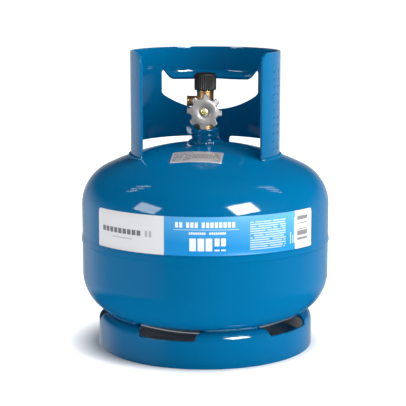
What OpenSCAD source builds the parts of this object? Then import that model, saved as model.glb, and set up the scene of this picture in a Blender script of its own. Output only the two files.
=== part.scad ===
/* [Pressure vessel] */
// Outside diameter of the vessel
vessel_d = 250; // [250:1:256]
// Thickness of the vessel's drawn steel
vessel_t = 2.2; // [2:0.1:2.5]
// Height where the lower dished end starts
vessel_low = 75; // [75:1:78]
// Height where the upper dished end starts
vessel_high = 144; // [144:1:146]
// Depth of the lower dished end
dish_low = 60.6; // [60:0.1:61.5]
// Depth of the upper dished end
dish_high = 61.6; // [61:0.1:62.5]
// Middle height of the girth joint
girth_z = 111.5; // [110:0.5:112]

/* [Foot ring] */
// Outside diameter of the foot ring
foot_d = 217.8; // [216:0.2:219]
// Thickness of the foot ring's sheet
foot_t = 2.6; // [2.5:0.1:3]
// Height of the foot ring's upright wall
foot_wall_h = 26; // [25:0.5:27]
// Outside radius of the foot ring's shoulder
foot_shoulder = 9; // [8.5:0.1:9.5]
// Number of vents round the foot ring
foot_vents = 5; // [4:1:6]
// Angle of the first vent from the front
vent_turn = -19.3; // [-36:0.1:36]

/* [Valve guard] */
// Outside diameter of the guard
guard_d = 150.2; // [149:0.2:152]
// Thickness of the guard's sheet
guard_t = 2.6; // [2.4:0.1:3]
// Height of the guard's top edge
guard_top = 297.5; // [295:0.5:300]
// Turn of the guard about the vessel's axis
guard_turn = -3.5; // [-10:0.5:10]
// Half the angle of the guard's front opening
guard_gap = 52.4; // [50:0.2:54]
// Half the width of the hand hole
hand_hole_w = 51; // [48:0.5:52]

/* [Valve] */
// Height of the spindle's axis
spindle_z = 239; // [238:0.5:240]
// Outside diameter of the handwheel
wheel_d = 34.6; // [33:0.2:36]
// Number of lobes on the handwheel
wheel_lobes = 8; // [6:1:10]
// Thread crest diameter of the gas outlet
outlet_d = 16.66; // [16.5:0.02:16.8]
// Outside diameter of the outlet cap
cap_d = 22; // [21:0.2:23]
// Number of grip flutes on the outlet cap
cap_flutes = 30; // [20:1:36]
// Height of the relief valve's axis
relief_z = 247; // [246.5:0.1:247.5]
// Angle of the bleed screw from the front
bleed_turn = -40; // [-44:1:-36]

/* [Label and plate] */
// Angle at the left end of the wrap label
label_left = -53.5; // [-60:0.5:-40]
// Angle at the right end of the wrap label
label_right = 56.4; // [40:0.1:60]
// Width of the data plate
plate_w = 50; // [40:1:56]
// Depth of the data plate
plate_d = 25; // [20:1:28]

/* [Hidden] */
$fn = 96;
// Segments of the large arcs and spheres
fine = 720;
eps = 0.01;

// Vessel
vessel_r = vessel_d / 2;
knuckle_r = 0.17 * vessel_d;
vessel_top = vessel_high + dish_high;
crown_high = crown_radius(vessel_r, knuckle_r, dish_high);
crown_z = vessel_top - crown_high;
girth_half = 1.5;
lip_lap = 6;
lip_h = 19;
lip_play = 0.1;
bead_w = 10.6;
bead_h = 1;

// Neck boss and its weld
boss_r = 14;
boss_top = 220;
boss_spigot_r = 12.4;
boss_spigot_h = 7;
boss_groove_r = 0.9;
neck_bead_r = 3.4;
shank_top_r = 9.6;
shank_low_r = 8.7;
shank_low = 194;

// Foot ring
foot_r = foot_d / 2;
vent_low = 27;
vent_low_w = 59;
vent_high_w = 65;
vent_corner = 3;
foot_bead_r = 5;

// Valve guard
guard_r = guard_d / 2;
guard_in = guard_r - guard_t;
post_corner = 9;
slot_top = 203.4;
slot_corner = 3;
slot_step = 0.02;
side_foot_end = 105;
back_foot_half = 15;
hand_hole_top = 274;
hand_hole_side = 249.5;
hand_hole_low = 231;
lip_half = 33.4;
lip_inset = 0.3;
lip_root = 3;
lip_bend = 7.2;
lip_flat = 2.2;
guard_bead_r = 2.3;
guard_foot_z = crown_z + sqrt(crown_high * crown_high - guard_r * guard_r);

// Valve body
barrel_r = 8.5;
barrel_top = 258;
spindle_boss_r = 8.1;
spindle_boss_y = 19;
chamber_r = 5;
chamber_y = 4;
port_r = 2.5;
port_top = 247.5;
seat_hole_r = 1.6;
outlet_r = outlet_d / 2 - 0.43;
outlet_top = 271.5;
outlet_bore_r = 4.2;
outlet_bore_low = 251;
crossover_r = 1.4;
crossover_y = 5;

// Spindle, plug and handwheel, as distances in front of the axis
running = 0.05;
seat_gap = 0.05;
seat_disc_r = 3.2;
seat_disc_t = 1.45;
plug_front = 11.5;
plug_slot_y = 7.2;
tang_w = 1.4;
tang_y = 10.2;
collar_y = 14.4;
collar_t = 1.2;
nut_in_y = 15.9;
nut_out_y = 23;
nut_flats = 14;
spindle_r = 2.55;
packing_r = 4;
square_w = 4;
wheel_back = 24.5;
wheel_front = 33;
wheel_root = 13.2;
wheel_notch_r = 3.7;
wheel_first_lobe = -4.6;
wheel_seat_y = 30.4;
washer_t = 0.6;
washer_r = 4.3;
screw_head_r = 3.3;
screw_r = 1.5;

// Outlet cap
cap_low = 258.3;
cap_top = 275.2;
cap_roof = 272.9;
cap_bore_r = outlet_d / 2 + 0.08;
flute_r = 0.7;
gasket_r = 7.6;

// Relief valve, as distances to the left of the axis
relief_r = 5.2;
relief_end = 18.4;
relief_seat = 6.5;
relief_bore_r = 3.6;
relief_hole_r = 1.5;
poppet_x = 10.4;
poppet_tip = 12;
relief_plug_x = 15.2;
spring_r = 2.55;
spring_wire = 0.6;
spring_coils = 4.5;

// Bleed screw, as distances from the axis, and the dip tube under it
bleed_z = 226;
bleed_boss_r = 3.4;
bleed_end = 10.8;
bleed_seat = 6.8;
bleed_bore_r = 2.3;
bleed_hole_r = 0.7;
bleed_seal_t = 0.6;
bleed_screw_end = 10;
dip_off = 5.5;
dip_r = 2;
dip_bore_r = 1;
dip_top = 205;
dip_low = 153.6;

// Label and plate
label_t = 0.2;
label_low = 114.5;
label_high = 151.2;
plate_t = 0.5;
plate_x = -6.5;
plate_y = -56.5;
plate_turn = -4.5;

// Colours
blue = [0.02, 0.36, 0.6];
brass_tone = [0.72, 0.52, 0.26];
zinc_tone = [0.66, 0.66, 0.68];
black_tone = [0.06, 0.06, 0.07];

// Crown radius of a dished end whose knuckle arc runs into the crown without a corner.
function crown_radius(r, k, h) = (h * h + (r - k) * (r - k) - k * k) / (2 * (h - k));

// Point at an angle from the front, positive towards the right.
function around_point(a, r) = [r * sin(a), -r * cos(a)];

// Points along an arc from angle a0 to angle a1, both measured from +X.
function arc_points(centre, r, a0, a1) = let (steps = 6)
    [for (i = [0 : steps]) let (a = a0 + (a1 - a0) * i / steps) centre + r * [cos(a), sin(a)]];

// Turns what points along +X to an angle from the front.
module around(a) rotate([0, 0, a - 90]) children();

// Lays what points along +Z in front of the valve's axis, at the spindle's height.
module forward() translate([0, 0, spindle_z]) rotate([90, 0, 0]) children();

// Lays what points along +Z to the left of the valve's axis, at the relief valve's height.
module leftward() translate([0, 0, relief_z]) rotate([0, -90, 0]) children();

// Lays what points along +Z along the bleed screw's axis.
module bleedward() translate([0, 0, bleed_z]) around(bleed_turn) rotate([0, 90, 0]) children();

// Stands a flat shape across the radius, with its +X along the circumference, and runs it outwards.
module radial_prism(low, high) rotate([90, 0, 90]) translate([0, 0, low]) linear_extrude(high - low) children();

// Disc whose rim is the arc of the upper dished end's crown.
module crown_disc() translate([0, crown_z]) circle(r = crown_high, $fn = fine);

// Cylinder between two heights.
module rod(r, low, high) translate([0, 0, low]) cylinder(r = r, h = high - low);

// Ring between two heights.
module ring(r_out, r_in, low, high) difference() {
    rod(r_out, low, high);
    rod(r_in, low - 1, high + 1);
}

// Wedge about the vertical axis between two angles from the front.
module wedge(a0, a1, low, high) {
    reach = 200;
    steps = 6;
    arc = [for (i = [0 : steps]) around_point(a0 + (a1 - a0) * i / steps, reach)];
    translate([0, 0, low]) linear_extrude(high - low) polygon(concat([[0, 0]], arc));
}

// Half section of a vessel between a lower and an upper dished end, grown outwards by "grow".
module vessel_section(grow) {
    square_h = vessel_high - vessel_low;
    translate([0, vessel_low]) square([vessel_r + grow, square_h]);
    translate([0, vessel_high]) dish_section(grow, dish_high);
    translate([0, vessel_low]) mirror([0, 1]) dish_section(grow, dish_low);
}

// Half section of one dished end that stands on the line y = 0: a crown arc and a knuckle arc.
module dish_section(grow, h) {
    crown = crown_radius(vessel_r, knuckle_r, h);
    knuckle_x = vessel_r - knuckle_r;
    centre_y = h - crown;
    lean = knuckle_x / -centre_y;
    high = h + 10;
    far = vessel_r + 20;
    edge_x = (high - centre_y) * lean;
    intersection() {
        translate([0, centre_y]) circle(r = crown + grow, $fn = fine);
        polygon([[0, 0], [knuckle_x, 0], [edge_x, high], [0, high]]);
    }
    intersection() {
        translate([knuckle_x, 0]) circle(r = knuckle_r + grow, $fn = fine);
        polygon([[knuckle_x, 0], [far, 0], [far, high], [edge_x, high]]);
    }
}

// Half section of the vessel's wall between two heights.
module wall_section(low, high) intersection() {
    difference() {
        vessel_section(0);
        vessel_section(-vessel_t);
    }
    translate([0, low]) square([vessel_r + 10, high - low]);
}

// Half section of the girth joint's proud bead, grown outwards by "grow".
module bead_section(grow) {
    arc = (bead_w * bead_w / 4 + bead_h * bead_h) / (2 * bead_h);
    intersection() {
        translate([vessel_r + bead_h - arc, girth_z]) circle(r = arc + grow, $fn = fine);
        translate([vessel_r - 1, girth_z - bead_w]) square([bead_h + 2, 2 * bead_w]);
    }
}

// Upper half of the vessel, with the hole for the neck boss.
module upper_shell() color(blue) difference() {
    rotate_extrude() wall_section(girth_z + girth_half, vessel_top + 1);
    rod(boss_spigot_r, vessel_top - 20, vessel_top + 5);
}

// Lower half of the vessel, whose joggled lip backs the girth joint.
module lower_shell() color(blue) {
    lip_r = vessel_r - vessel_t - lip_play;
    lip_low = girth_z - girth_half - lip_lap;
    rotate_extrude() union() {
        wall_section(0, girth_z - girth_half);
        translate([lip_r - vessel_t, lip_low]) square([vessel_t, lip_h]);
        translate([lip_r - eps, lip_low]) square([lip_play + 2 * eps, lip_lap]);
    }
}

// Weld that fills the girth joint and stands a little proud.
module girth_weld() color(blue) rotate_extrude() difference() {
    union() {
        bead_section(0);
        translate([vessel_r - vessel_t, girth_z - girth_half])
            square([vessel_t, 2 * girth_half]);
    }
    translate([0, girth_z + girth_half]) square([vessel_r, bead_w]);
    translate([0, girth_z - girth_half - bead_w]) square([vessel_r, bead_w]);
}

// Threaded boss that carries the valve.
module neck_boss() color(blue) difference() {
    rotate_extrude() difference() {
        union() {
            translate([0, vessel_top - 6]) square([boss_r, boss_top - vessel_top + 6]);
            translate([0, vessel_top - boss_spigot_h]) square([boss_spigot_r, boss_spigot_h]);
        }
        intersection() {
            crown_disc();
            translate([boss_spigot_r, 0]) square([boss_r, vessel_top + 1]);
        }
        for (z = [209.5, 214.5]) translate([boss_r + 0.3, z]) circle(r = boss_groove_r);
    }
    translate([0, 0, shank_low])
        cylinder(r1 = shank_low_r, r2 = shank_top_r, h = boss_top - shank_low + eps);
}

// Fillet weld round the foot of the boss.
module neck_weld() color(blue) rotate_extrude() difference() {
    translate([boss_r, vessel_top - 0.4]) circle(r = neck_bead_r);
    square([boss_r, boss_top]);
    crown_disc();
}

// Rolled guard round the valve, with its front opening, hand hole, handle lip and feet.
module valve_guard() color(blue) rotate([0, 0, guard_turn]) {
    difference() {
        rotate_extrude() guard_wall_section();
        wedge(-guard_gap, guard_gap, 180, guard_top + 1);
        for (side = [-1, 1]) guard_post_corner(side);
        guard_hand_hole();
        for (side = [-1, 1]) guard_slot(side);
    }
    guard_handle_lip();
}

// Half section of the guard's wall, cut to the dome it stands on.
module guard_wall_section() difference() {
    translate([guard_in, 180]) square([guard_t, guard_top - 180]);
    crown_disc();
}

// Cutter that rounds the top corner of one front post.
module guard_post_corner(side) around(side * guard_gap) radial_prism(guard_in - 5, guard_r + 5)
    mirror([side > 0 ? 0 : 1, 0]) polygon(concat(
        arc_points([post_corner, guard_top - post_corner], post_corner, 180, 90),
        [[post_corner, guard_top + 2], [-2, guard_top + 2], [-2, guard_top - post_corner]]
    ));

// Cutter for the hand hole: straight sides over one wide arc.
module guard_hand_hole() {
    sag = hand_hole_side - hand_hole_low;
    arc = (hand_hole_w * hand_hole_w + sag * sag) / (2 * sag);
    translate([0, guard_r + 10, 0]) rotate([90, 0, 0]) linear_extrude(guard_r) intersection() {
        translate([-hand_hole_w, hand_hole_low - 1])
            square([2 * hand_hole_w, hand_hole_top - hand_hole_low + 1]);
        translate([0, hand_hole_low + arc]) circle(r = arc);
    }
}

// Cutter for the low slot between a side foot and the back foot, with round upper ends.
// Its middle is a hair lower than its ends, so that no two cutters share a face.
module guard_slot(side) {
    ease = slot_corner / guard_r * 180 / PI;
    foot_ends = [side_foot_end + ease, 180 - back_foot_half - ease];
    wedge(min(side * foot_ends), max(side * foot_ends), 185, slot_top - slot_step);
    for (i = [0, 1])
        around(side * foot_ends[i]) radial_prism(guard_in - 5, guard_r + 5)
            mirror([side * (0.5 - i) > 0 ? 0 : 1, 0]) polygon(concat(
                arc_points([0, slot_top - slot_corner], slot_corner, 90, 180),
                [[-slot_corner, 180], [1, 180], [1, slot_top]]
            ));
}

// Crescent of sheet rolled inwards over the hand hole, as a grip. Its root runs up inside the wall.
module guard_handle_lip() {
    t = guard_t - 2 * lip_inset;
    bend_x = guard_r - lip_inset - t - lip_bend;
    reach_y = bend_x - lip_flat;
    end_y = guard_in * cos(lip_half);
    end_x = guard_in * sin(lip_half);
    sag = reach_y - end_y;
    arc = (end_x * end_x + sag * sag) / (2 * sag);
    difference() {
        around(180 - lip_half) rotate_extrude(angle = 2 * lip_half) {
            intersection() {
                translate([bend_x, hand_hole_top]) difference() {
                    circle(r = lip_bend + t);
                    circle(r = lip_bend);
                }
                translate([bend_x, hand_hole_top - 20]) square([30, 20]);
            }
            translate([bend_x + lip_bend, hand_hole_top]) square([t, lip_root]);
            translate([reach_y - 4, hand_hole_top - lip_bend - t]) square([lip_flat + 4, t]);
        }
        translate([0, reach_y - arc, 0]) rod(arc, hand_hole_top - 30, hand_hole_top + 1);
    }
}

// Fillet welds outside the guard's three feet.
module guard_welds() color(blue) rotate([0, 0, guard_turn]) {
    tail = 1.5;
    for (span = [[guard_gap - tail, side_foot_end - 1],
                 [180 - back_foot_half + 1, 180 + back_foot_half - 1],
                 [1 - side_foot_end + 360, 360 - guard_gap + tail]])
        around(span[0]) rotate_extrude(angle = span[1] - span[0]) difference() {
            translate([guard_r, guard_foot_z]) circle(r = guard_bead_r);
            translate([0, 100]) square([guard_r, 200]);
            crown_disc();
        }
}

// Half section of the foot ring: an upright wall, a shoulder arc and a short flange, cut to the dish.
module foot_ring_section() {
    bend_x = foot_r - foot_shoulder;
    difference() {
        union() {
            translate([foot_r - foot_t, 0]) square([foot_t, foot_wall_h]);
            intersection() {
                translate([bend_x, foot_wall_h]) difference() {
                    circle(r = foot_shoulder);
                    circle(r = foot_shoulder - foot_t);
                }
                translate([bend_x, foot_wall_h]) square(foot_shoulder + 1);
            }
            translate([bend_x - 5, foot_wall_h + foot_shoulder - foot_t]) square([5, foot_t]);
        }
        dish_cutter_section();
    }
}

// Half section of everything inside the lower dish's outer face.
module dish_cutter_section() translate([0, vessel_low]) mirror([0, 1]) dish_section(0, dish_low);

// Foot ring with its vents.
module foot_ring() color(blue) difference() {
    rotate_extrude() foot_ring_section();
    for (i = [0 : foot_vents - 1]) around(vent_turn + i * 360 / foot_vents) foot_vent();
}

// Cutter for one vent, which is wider at the top and has round lower corners.
module foot_vent() radial_prism(foot_r - 25, foot_r + 15) {
    low = vent_low_w / 2;
    high = vent_high_w / 2;
    top = foot_wall_h + foot_shoulder + 5;
    corner = [low - vent_corner, vent_low + vent_corner];
    polygon(concat(
        arc_points(corner, vent_corner, -90, 0),
        [[high, top], [-high, top]],
        arc_points([-corner.x, corner.y], vent_corner, 180, 270)
    ));
}

// Fillet welds between the foot ring's tabs and the lower dish.
module foot_ring_welds() color(blue) {
    pitch = 360 / foot_vents;
    vent_half = asin(vent_high_w / 2 / (foot_r - foot_shoulder));
    touch_z = foot_wall_h + foot_shoulder;
    drop = vessel_low - touch_z;
    touch_x = vessel_r - knuckle_r + sqrt(knuckle_r * knuckle_r - drop * drop);
    for (i = [0 : foot_vents - 1])
        around(vent_turn + i * pitch + vent_half + 1)
            rotate_extrude(angle = pitch - 2 * vent_half - 2) difference() {
                translate([touch_x, touch_z]) circle(r = foot_bead_r);
                translate([0, touch_z - 10]) square([touch_x + 10, 10]);
                dish_cutter_section();
            }
}

// Printed label wrapped round the front of the vessel.
module wrap_label() color("white") intersection() {
    rotate_extrude() intersection() {
        difference() {
            union() {
                vessel_section(label_t);
                bead_section(label_t);
            }
            vessel_section(0);
            bead_section(0);
        }
        translate([vessel_r - 10, label_low]) square([20, label_high - label_low]);
    }
    wedge(label_left, label_right, label_low - 1, label_high + 1);
}

// Stamped plate that follows the dome in front of the boss.
module data_plate() color(zinc_tone) intersection() {
    translate([0, 0, crown_z]) difference() {
        sphere(r = crown_high + plate_t, $fn = fine);
        sphere(r = crown_high, $fn = fine);
    }
    translate([plate_x, plate_y, vessel_top - 30]) rotate([0, 0, plate_turn])
        translate([-plate_w / 2, -plate_d / 2, 0]) cube([plate_w, plate_d, 40]);
}

// Brass valve body with its chamber, ports and outlet.
module valve_body() color(brass_tone) difference() {
    union() {
        translate([0, 0, shank_low])
            cylinder(r1 = shank_low_r, r2 = shank_top_r, h = boss_top - shank_low);
        rod(barrel_r, boss_top - eps, barrel_top);
        rod(outlet_r, barrel_top - 1, outlet_top);
        forward() rod(spindle_boss_r, 0, spindle_boss_y);
        leftward() rod(relief_r, 0, relief_end);
        bleedward() rod(bleed_boss_r, 0, bleed_end);
    }
    rod(port_r, shank_low - 1, port_top);
    rod(outlet_bore_r, outlet_bore_low, outlet_top + 1);
    translate([0, -crossover_y, 0]) rod(crossover_r, spindle_z, outlet_bore_low + 4);
    forward() rod(seat_hole_r, 0, chamber_y + 1);
    forward() rod(chamber_r, chamber_y, spindle_boss_y + 1);
    leftward() rod(relief_hole_r, 0, relief_seat + 1);
    leftward() rod(relief_bore_r, relief_seat, relief_end + 1);
    bleedward() rod(bleed_hole_r, dip_off, bleed_seat + 1);
    bleedward() rod(bleed_bore_r, bleed_seat, bleed_end + 1);
    dip_place() rod(dip_bore_r, shank_low - 1, bleed_z);
    dip_place() rod(dip_r, shank_low - 1, dip_top);
}

// Puts what stands on the vessel's axis on the dip tube's axis.
module dip_place() around(bleed_turn) translate([dip_off, 0, 0]) children();

// Nut that closes the spindle chamber.
module gland_nut() color(brass_tone) forward() difference() {
    union() {
        rod(chamber_r, nut_in_y, spindle_boss_y + eps);
        translate([0, 0, spindle_boss_y])
            cylinder(d = nut_flats / cos(30), h = nut_out_y - spindle_boss_y, $fn = 6);
    }
    rod(packing_r, nut_in_y - 1, spindle_boss_y);
    rod(spindle_r + running, nut_in_y, nut_out_y + 1);
}

// Rubber packing round the spindle inside the gland nut.
module gland_packing() color(black_tone) forward()
    ring(packing_r, spindle_r + running, nut_in_y + 0.1, spindle_boss_y);

// Spindle with its collar, driving tang and squared end.
module spindle() color(brass_tone) forward() difference() {
    union() {
        translate([-tang_w / 2, -3.5, tang_y]) cube([tang_w, 7, collar_y - tang_y + eps]);
        rod(4.3, collar_y, collar_y + collar_t);
        rod(spindle_r, collar_y, wheel_back);
        translate([-square_w / 2, -square_w / 2, wheel_back - eps])
            cube([square_w, square_w, wheel_seat_y - wheel_back]);
    }
    rod(screw_r, wheel_seat_y - 7, wheel_seat_y + 1);
}

// Screwed plug that the spindle's tang turns and that carries the seat disc.
module valve_plug() color(brass_tone) forward() difference() {
    rod(chamber_r - running, chamber_y + seat_gap + seat_disc_t, plug_front);
    translate([-tang_w / 2 - 0.15, -10, plug_slot_y]) cube([tang_w + 0.3, 20, 10]);
}

// Soft disc that closes on the seat.
module seat_disc() color(black_tone) forward()
    rod(seat_disc_r, chamber_y + seat_gap, chamber_y + seat_gap + seat_disc_t);

// Outline of the handwheel: a disc with a round notch between each two lobes.
module wheel_outline() difference() {
    circle(d = wheel_d);
    for (i = [0 : wheel_lobes - 1])
        rotate(wheel_first_lobe + (i + 0.5) * 360 / wheel_lobes)
            translate([wheel_root + wheel_notch_r, 0]) circle(r = wheel_notch_r);
}

// Die-cast handwheel with a recess for its screw and a hub behind.
module handwheel() color(zinc_tone) forward() difference() {
    union() {
        translate([0, 0, wheel_back + 1.5])
            linear_extrude(wheel_front - wheel_back - 2) wheel_outline();
        rod(wheel_root, wheel_back + 2, wheel_front);
        rod(7, wheel_back, wheel_back + 3);
    }
    rod(5.2, wheel_seat_y, wheel_front + 1);
    translate([-square_w / 2, -square_w / 2, wheel_back - 1]) cube([square_w, square_w, 10]);
}

// Washer under the handwheel's screw.
module handwheel_washer() color(zinc_tone) forward()
    ring(washer_r, screw_r + 0.1, wheel_seat_y, wheel_seat_y + washer_t);

// Pan-head screw that holds the handwheel on the spindle.
module handwheel_screw() color([0.75, 0.7, 0.45]) forward() difference() {
    union() {
        rod(screw_r, wheel_seat_y - 6, wheel_seat_y + washer_t + eps);
        rod(screw_head_r, wheel_seat_y + washer_t, wheel_front - 0.4);
        rod(screw_head_r - 0.7, wheel_front - 1, wheel_front + 0.1);
    }
    for (turn = [45, 135]) rotate(turn) translate([-2.1, -0.45, wheel_front - 1.2]) cube([4.2, 0.9, 3]);
}

// Outline of the outlet cap: a disc with fine grip flutes.
module cap_outline() difference() {
    circle(d = cap_d);
    for (i = [0 : cap_flutes - 1])
        rotate(i * 360 / cap_flutes) translate([cap_d / 2 + 0.25, 0]) circle(r = flute_r);
}

// Plastic cap screwed on the outlet.
module outlet_cap() color(black_tone) difference() {
    union() {
        translate([0, 0, cap_low]) linear_extrude(cap_top - cap_low - 1) cap_outline();
        rod(cap_d / 2 - 0.8, cap_low + 1, cap_top);
    }
    rod(cap_bore_r, cap_low - 1, cap_roof);
}

// Rubber washer inside the cap.
module cap_gasket() color(black_tone) rod(gasket_r, outlet_top + seat_gap, cap_roof - 0.05);

// Sprung poppet of the relief valve, with two flats for the gas to pass.
module relief_poppet() color(brass_tone) leftward() difference() {
    union() {
        rod(relief_bore_r - running, relief_seat + 1.3, poppet_x);
        rod(1.5, poppet_x - eps, poppet_tip);
    }
    for (side = [0, 180]) rotate(side) translate([2.9, -5, 0]) cube([5, 10, 20]);
}

// Rubber face of the relief poppet.
module relief_seal() color(black_tone) leftward() rod(2.6, relief_seat + seat_gap, relief_seat + 1.3);

// Coil spring behind the relief poppet, swept as a ring of points along a helix.
module relief_spring() color("silver") leftward() {
    sides = 8;
    steps = 20 * spring_coils;
    low = poppet_x + spring_wire / 2 + 0.05;
    high = relief_plug_x - spring_wire / 2 - 0.05;
    points = [for (i = [0 : steps], j = [0 : sides - 1]) let (
        turn = 360 * spring_coils * i / steps,
        lean = 360 * j / sides,
        r = spring_r + spring_wire / 2 * cos(lean)
    ) [r * cos(turn), r * sin(turn), low + (high - low) * i / steps + spring_wire / 2 * sin(lean)]];
    walls = [for (i = [0 : steps - 1], j = [0 : sides - 1]) [
        i * sides + j, (i + 1) * sides + j,
        (i + 1) * sides + (j + 1) % sides, i * sides + (j + 1) % sides
    ]];
    first_end = [for (j = [0 : sides - 1]) j];
    last_end = [for (j = [sides - 1 : -1 : 0]) steps * sides + j];
    polyhedron(points, concat(walls, [first_end, last_end]));
}

// Screwed plug with a vent hole and a slot, which loads the relief spring.
module relief_plug() color(brass_tone) leftward() difference() {
    rod(relief_bore_r, relief_plug_x, relief_end - 0.4);
    rod(1.5, relief_plug_x - 1, relief_end + 1);
    translate([-5, -0.5, relief_end - 1.6]) cube([10, 1, 3]);
}

// Slotted screw that opens the level gauge's vent.
module bleed_screw() color(brass_tone) bleedward() difference() {
    rod(bleed_bore_r - running, bleed_seat + seat_gap + bleed_seal_t, bleed_screw_end);
    translate([-5, -0.4, bleed_screw_end - 0.9]) cube([10, 0.8, 3]);
}

// Soft tip that closes the level gauge's vent.
module bleed_seal() color(black_tone) bleedward()
    rod(1.6, bleed_seat + seat_gap, bleed_seat + seat_gap + bleed_seal_t);

// Tube that hangs down to the full liquid level.
module dip_tube() color(brass_tone) dip_place() ring(dip_r, dip_bore_r, dip_low, dip_top);

upper_shell();
lower_shell();
girth_weld();
neck_boss();
neck_weld();
valve_guard();
guard_welds();
foot_ring();
foot_ring_welds();
wrap_label();
data_plate();
valve_body();
gland_nut();
gland_packing();
spindle();
valve_plug();
seat_disc();
handwheel();
handwheel_washer();
handwheel_screw();
outlet_cap();
cap_gasket();
relief_poppet();
relief_seal();
relief_spring();
relief_plug();
bleed_screw();
bleed_seal();
dip_tube();
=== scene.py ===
"""Looks of a refillable gas cylinder: its painted steel, brass valve, label and studio."""
from __future__ import annotations

import logging
import math
from dataclasses import dataclass, field
from enum import Enum
from functools import reduce
from operator import add
from typing import Callable, Iterable, Sequence

import bmesh
import bpy
import numpy as np
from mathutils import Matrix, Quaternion, Vector

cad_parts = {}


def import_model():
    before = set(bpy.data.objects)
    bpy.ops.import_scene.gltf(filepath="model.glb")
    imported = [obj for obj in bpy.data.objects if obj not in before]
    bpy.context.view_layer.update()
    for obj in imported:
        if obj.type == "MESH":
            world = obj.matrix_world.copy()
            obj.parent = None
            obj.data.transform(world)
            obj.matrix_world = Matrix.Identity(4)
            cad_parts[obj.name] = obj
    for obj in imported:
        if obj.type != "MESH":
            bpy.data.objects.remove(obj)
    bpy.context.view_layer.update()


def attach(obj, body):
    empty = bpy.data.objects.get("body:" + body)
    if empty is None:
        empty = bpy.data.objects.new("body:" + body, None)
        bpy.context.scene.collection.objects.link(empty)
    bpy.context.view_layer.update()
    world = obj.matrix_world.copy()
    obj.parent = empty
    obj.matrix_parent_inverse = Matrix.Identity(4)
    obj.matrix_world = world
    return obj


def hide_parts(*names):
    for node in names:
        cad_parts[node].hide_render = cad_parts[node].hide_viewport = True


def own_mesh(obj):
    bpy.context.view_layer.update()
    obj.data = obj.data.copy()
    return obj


LOG = logging.getLogger("gas_cylinder")
MM = 0.001
# Radius of a point on the axis, in millimetres: small enough that the ring closes to a pole
POLE = 0.001
# Points in one place are joined within the first distance, and faces shorter than the second go, in metres
JOIN_GAP, THIN_FACE = 2e-6, 1e-7

Colour = tuple[float, float, float]
Corners = Sequence[tuple[float, float, float]]


# ---------------------------------------------------------------- surfaces


class Way(Enum):
    """Where a turned piece's own +Z axis points: the rows are its own X, Y and Z, always right-handed."""

    UP = ((1, 0, 0), (0, 1, 0), (0, 0, 1))
    FORWARD = ((1, 0, 0), (0, 0, 1), (0, -1, 0))
    LEFT = ((0, -1, 0), (0, 0, 1), (-1, 0, 0))


@dataclass
class Surface:
    """Points in millimetres and the four-sided faces between them."""

    points: np.ndarray
    faces: np.ndarray

    def __add__(self, other: Surface) -> Surface:
        """Both surfaces as one."""
        points = np.vstack([self.points, other.points])
        return Surface(points, np.vstack([self.faces, other.faces + len(self.points)]))

    def placed(self, way: Way, origin: Sequence[float]) -> Surface:
        """The surface with its +Z laid along a way, from an origin.

        Args:
            way: the direction that the surface's own axis takes.
            origin: where the surface's own origin comes, in millimetres.

        Returns:
            The placed surface.
        """
        axes = np.array(way.value, float)
        return Surface(self.points @ axes + np.asarray(origin, float), self.faces)

    def turned(self, degrees: float) -> Surface:
        """The surface turned about +Z by an angle, anticlockwise from above.

        Args:
            degrees: the angle, anticlockwise from above.

        Returns:
            The turned surface.
        """
        points = self.points.copy()
        points[:, :2] = points[:, :2] @ spin(math.radians(degrees))
        return Surface(points, self.faces)


def spin(angle: float) -> np.ndarray:
    """Matrix that turns rows of x and y anticlockwise by an angle in radians."""
    return np.array([[math.cos(angle), math.sin(angle)], [-math.sin(angle), math.cos(angle)]])


def joined(surfaces: Iterable[Surface]) -> Surface:
    """Several surfaces as one, in their order."""
    return reduce(add, surfaces)


def round_axis(radius: np.ndarray, angle: np.ndarray, height: np.ndarray) -> np.ndarray:
    """Points at a radius, an angle in radians from the front towards +X, and a height.

    Args:
        radius: distance from the axis.
        angle: angle from the front, in radians.
        height: height over the floor.

    Returns:
        Rows of x, y and z.
    """
    return np.stack(np.broadcast_arrays(radius * np.sin(angle), -radius * np.cos(angle), height), -1)


def corner_fall(distance: np.ndarray, radius: float) -> np.ndarray:
    """How far a round corner's edge lies back from a straight one, at a distance from its side.

    Args:
        distance: how far each point lies from the corner's side.
        radius: the corner's radius.

    Returns:
        The fall at each point, nothing past the radius.
    """
    short = np.clip(radius - distance, 0, radius)
    return radius - np.sqrt(radius**2 - short**2)


def quads(rows: int, columns: int, ring: bool = True, keep: np.ndarray | None = None) -> np.ndarray:
    """Faces of a grid of points, which face to the left of its rows' order.

    Args:
        rows: number of rows of points.
        columns: number of points in a row.
        ring: whether the last column joins the first.
        keep: which cells to make, as a mask of cells, or None for all.

    Returns:
        An array of four point numbers a face.
    """
    i, j = np.meshgrid(np.arange(rows - 1), np.arange(columns if ring else columns - 1), indexing="ij")
    if keep is not None:
        i, j = i[keep], j[keep]
    i, j = i.ravel(), j.ravel()
    k = (j + 1) % columns
    return np.column_stack([i * columns + j, i * columns + k, (i + 1) * columns + k, (i + 1) * columns + j])


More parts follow.
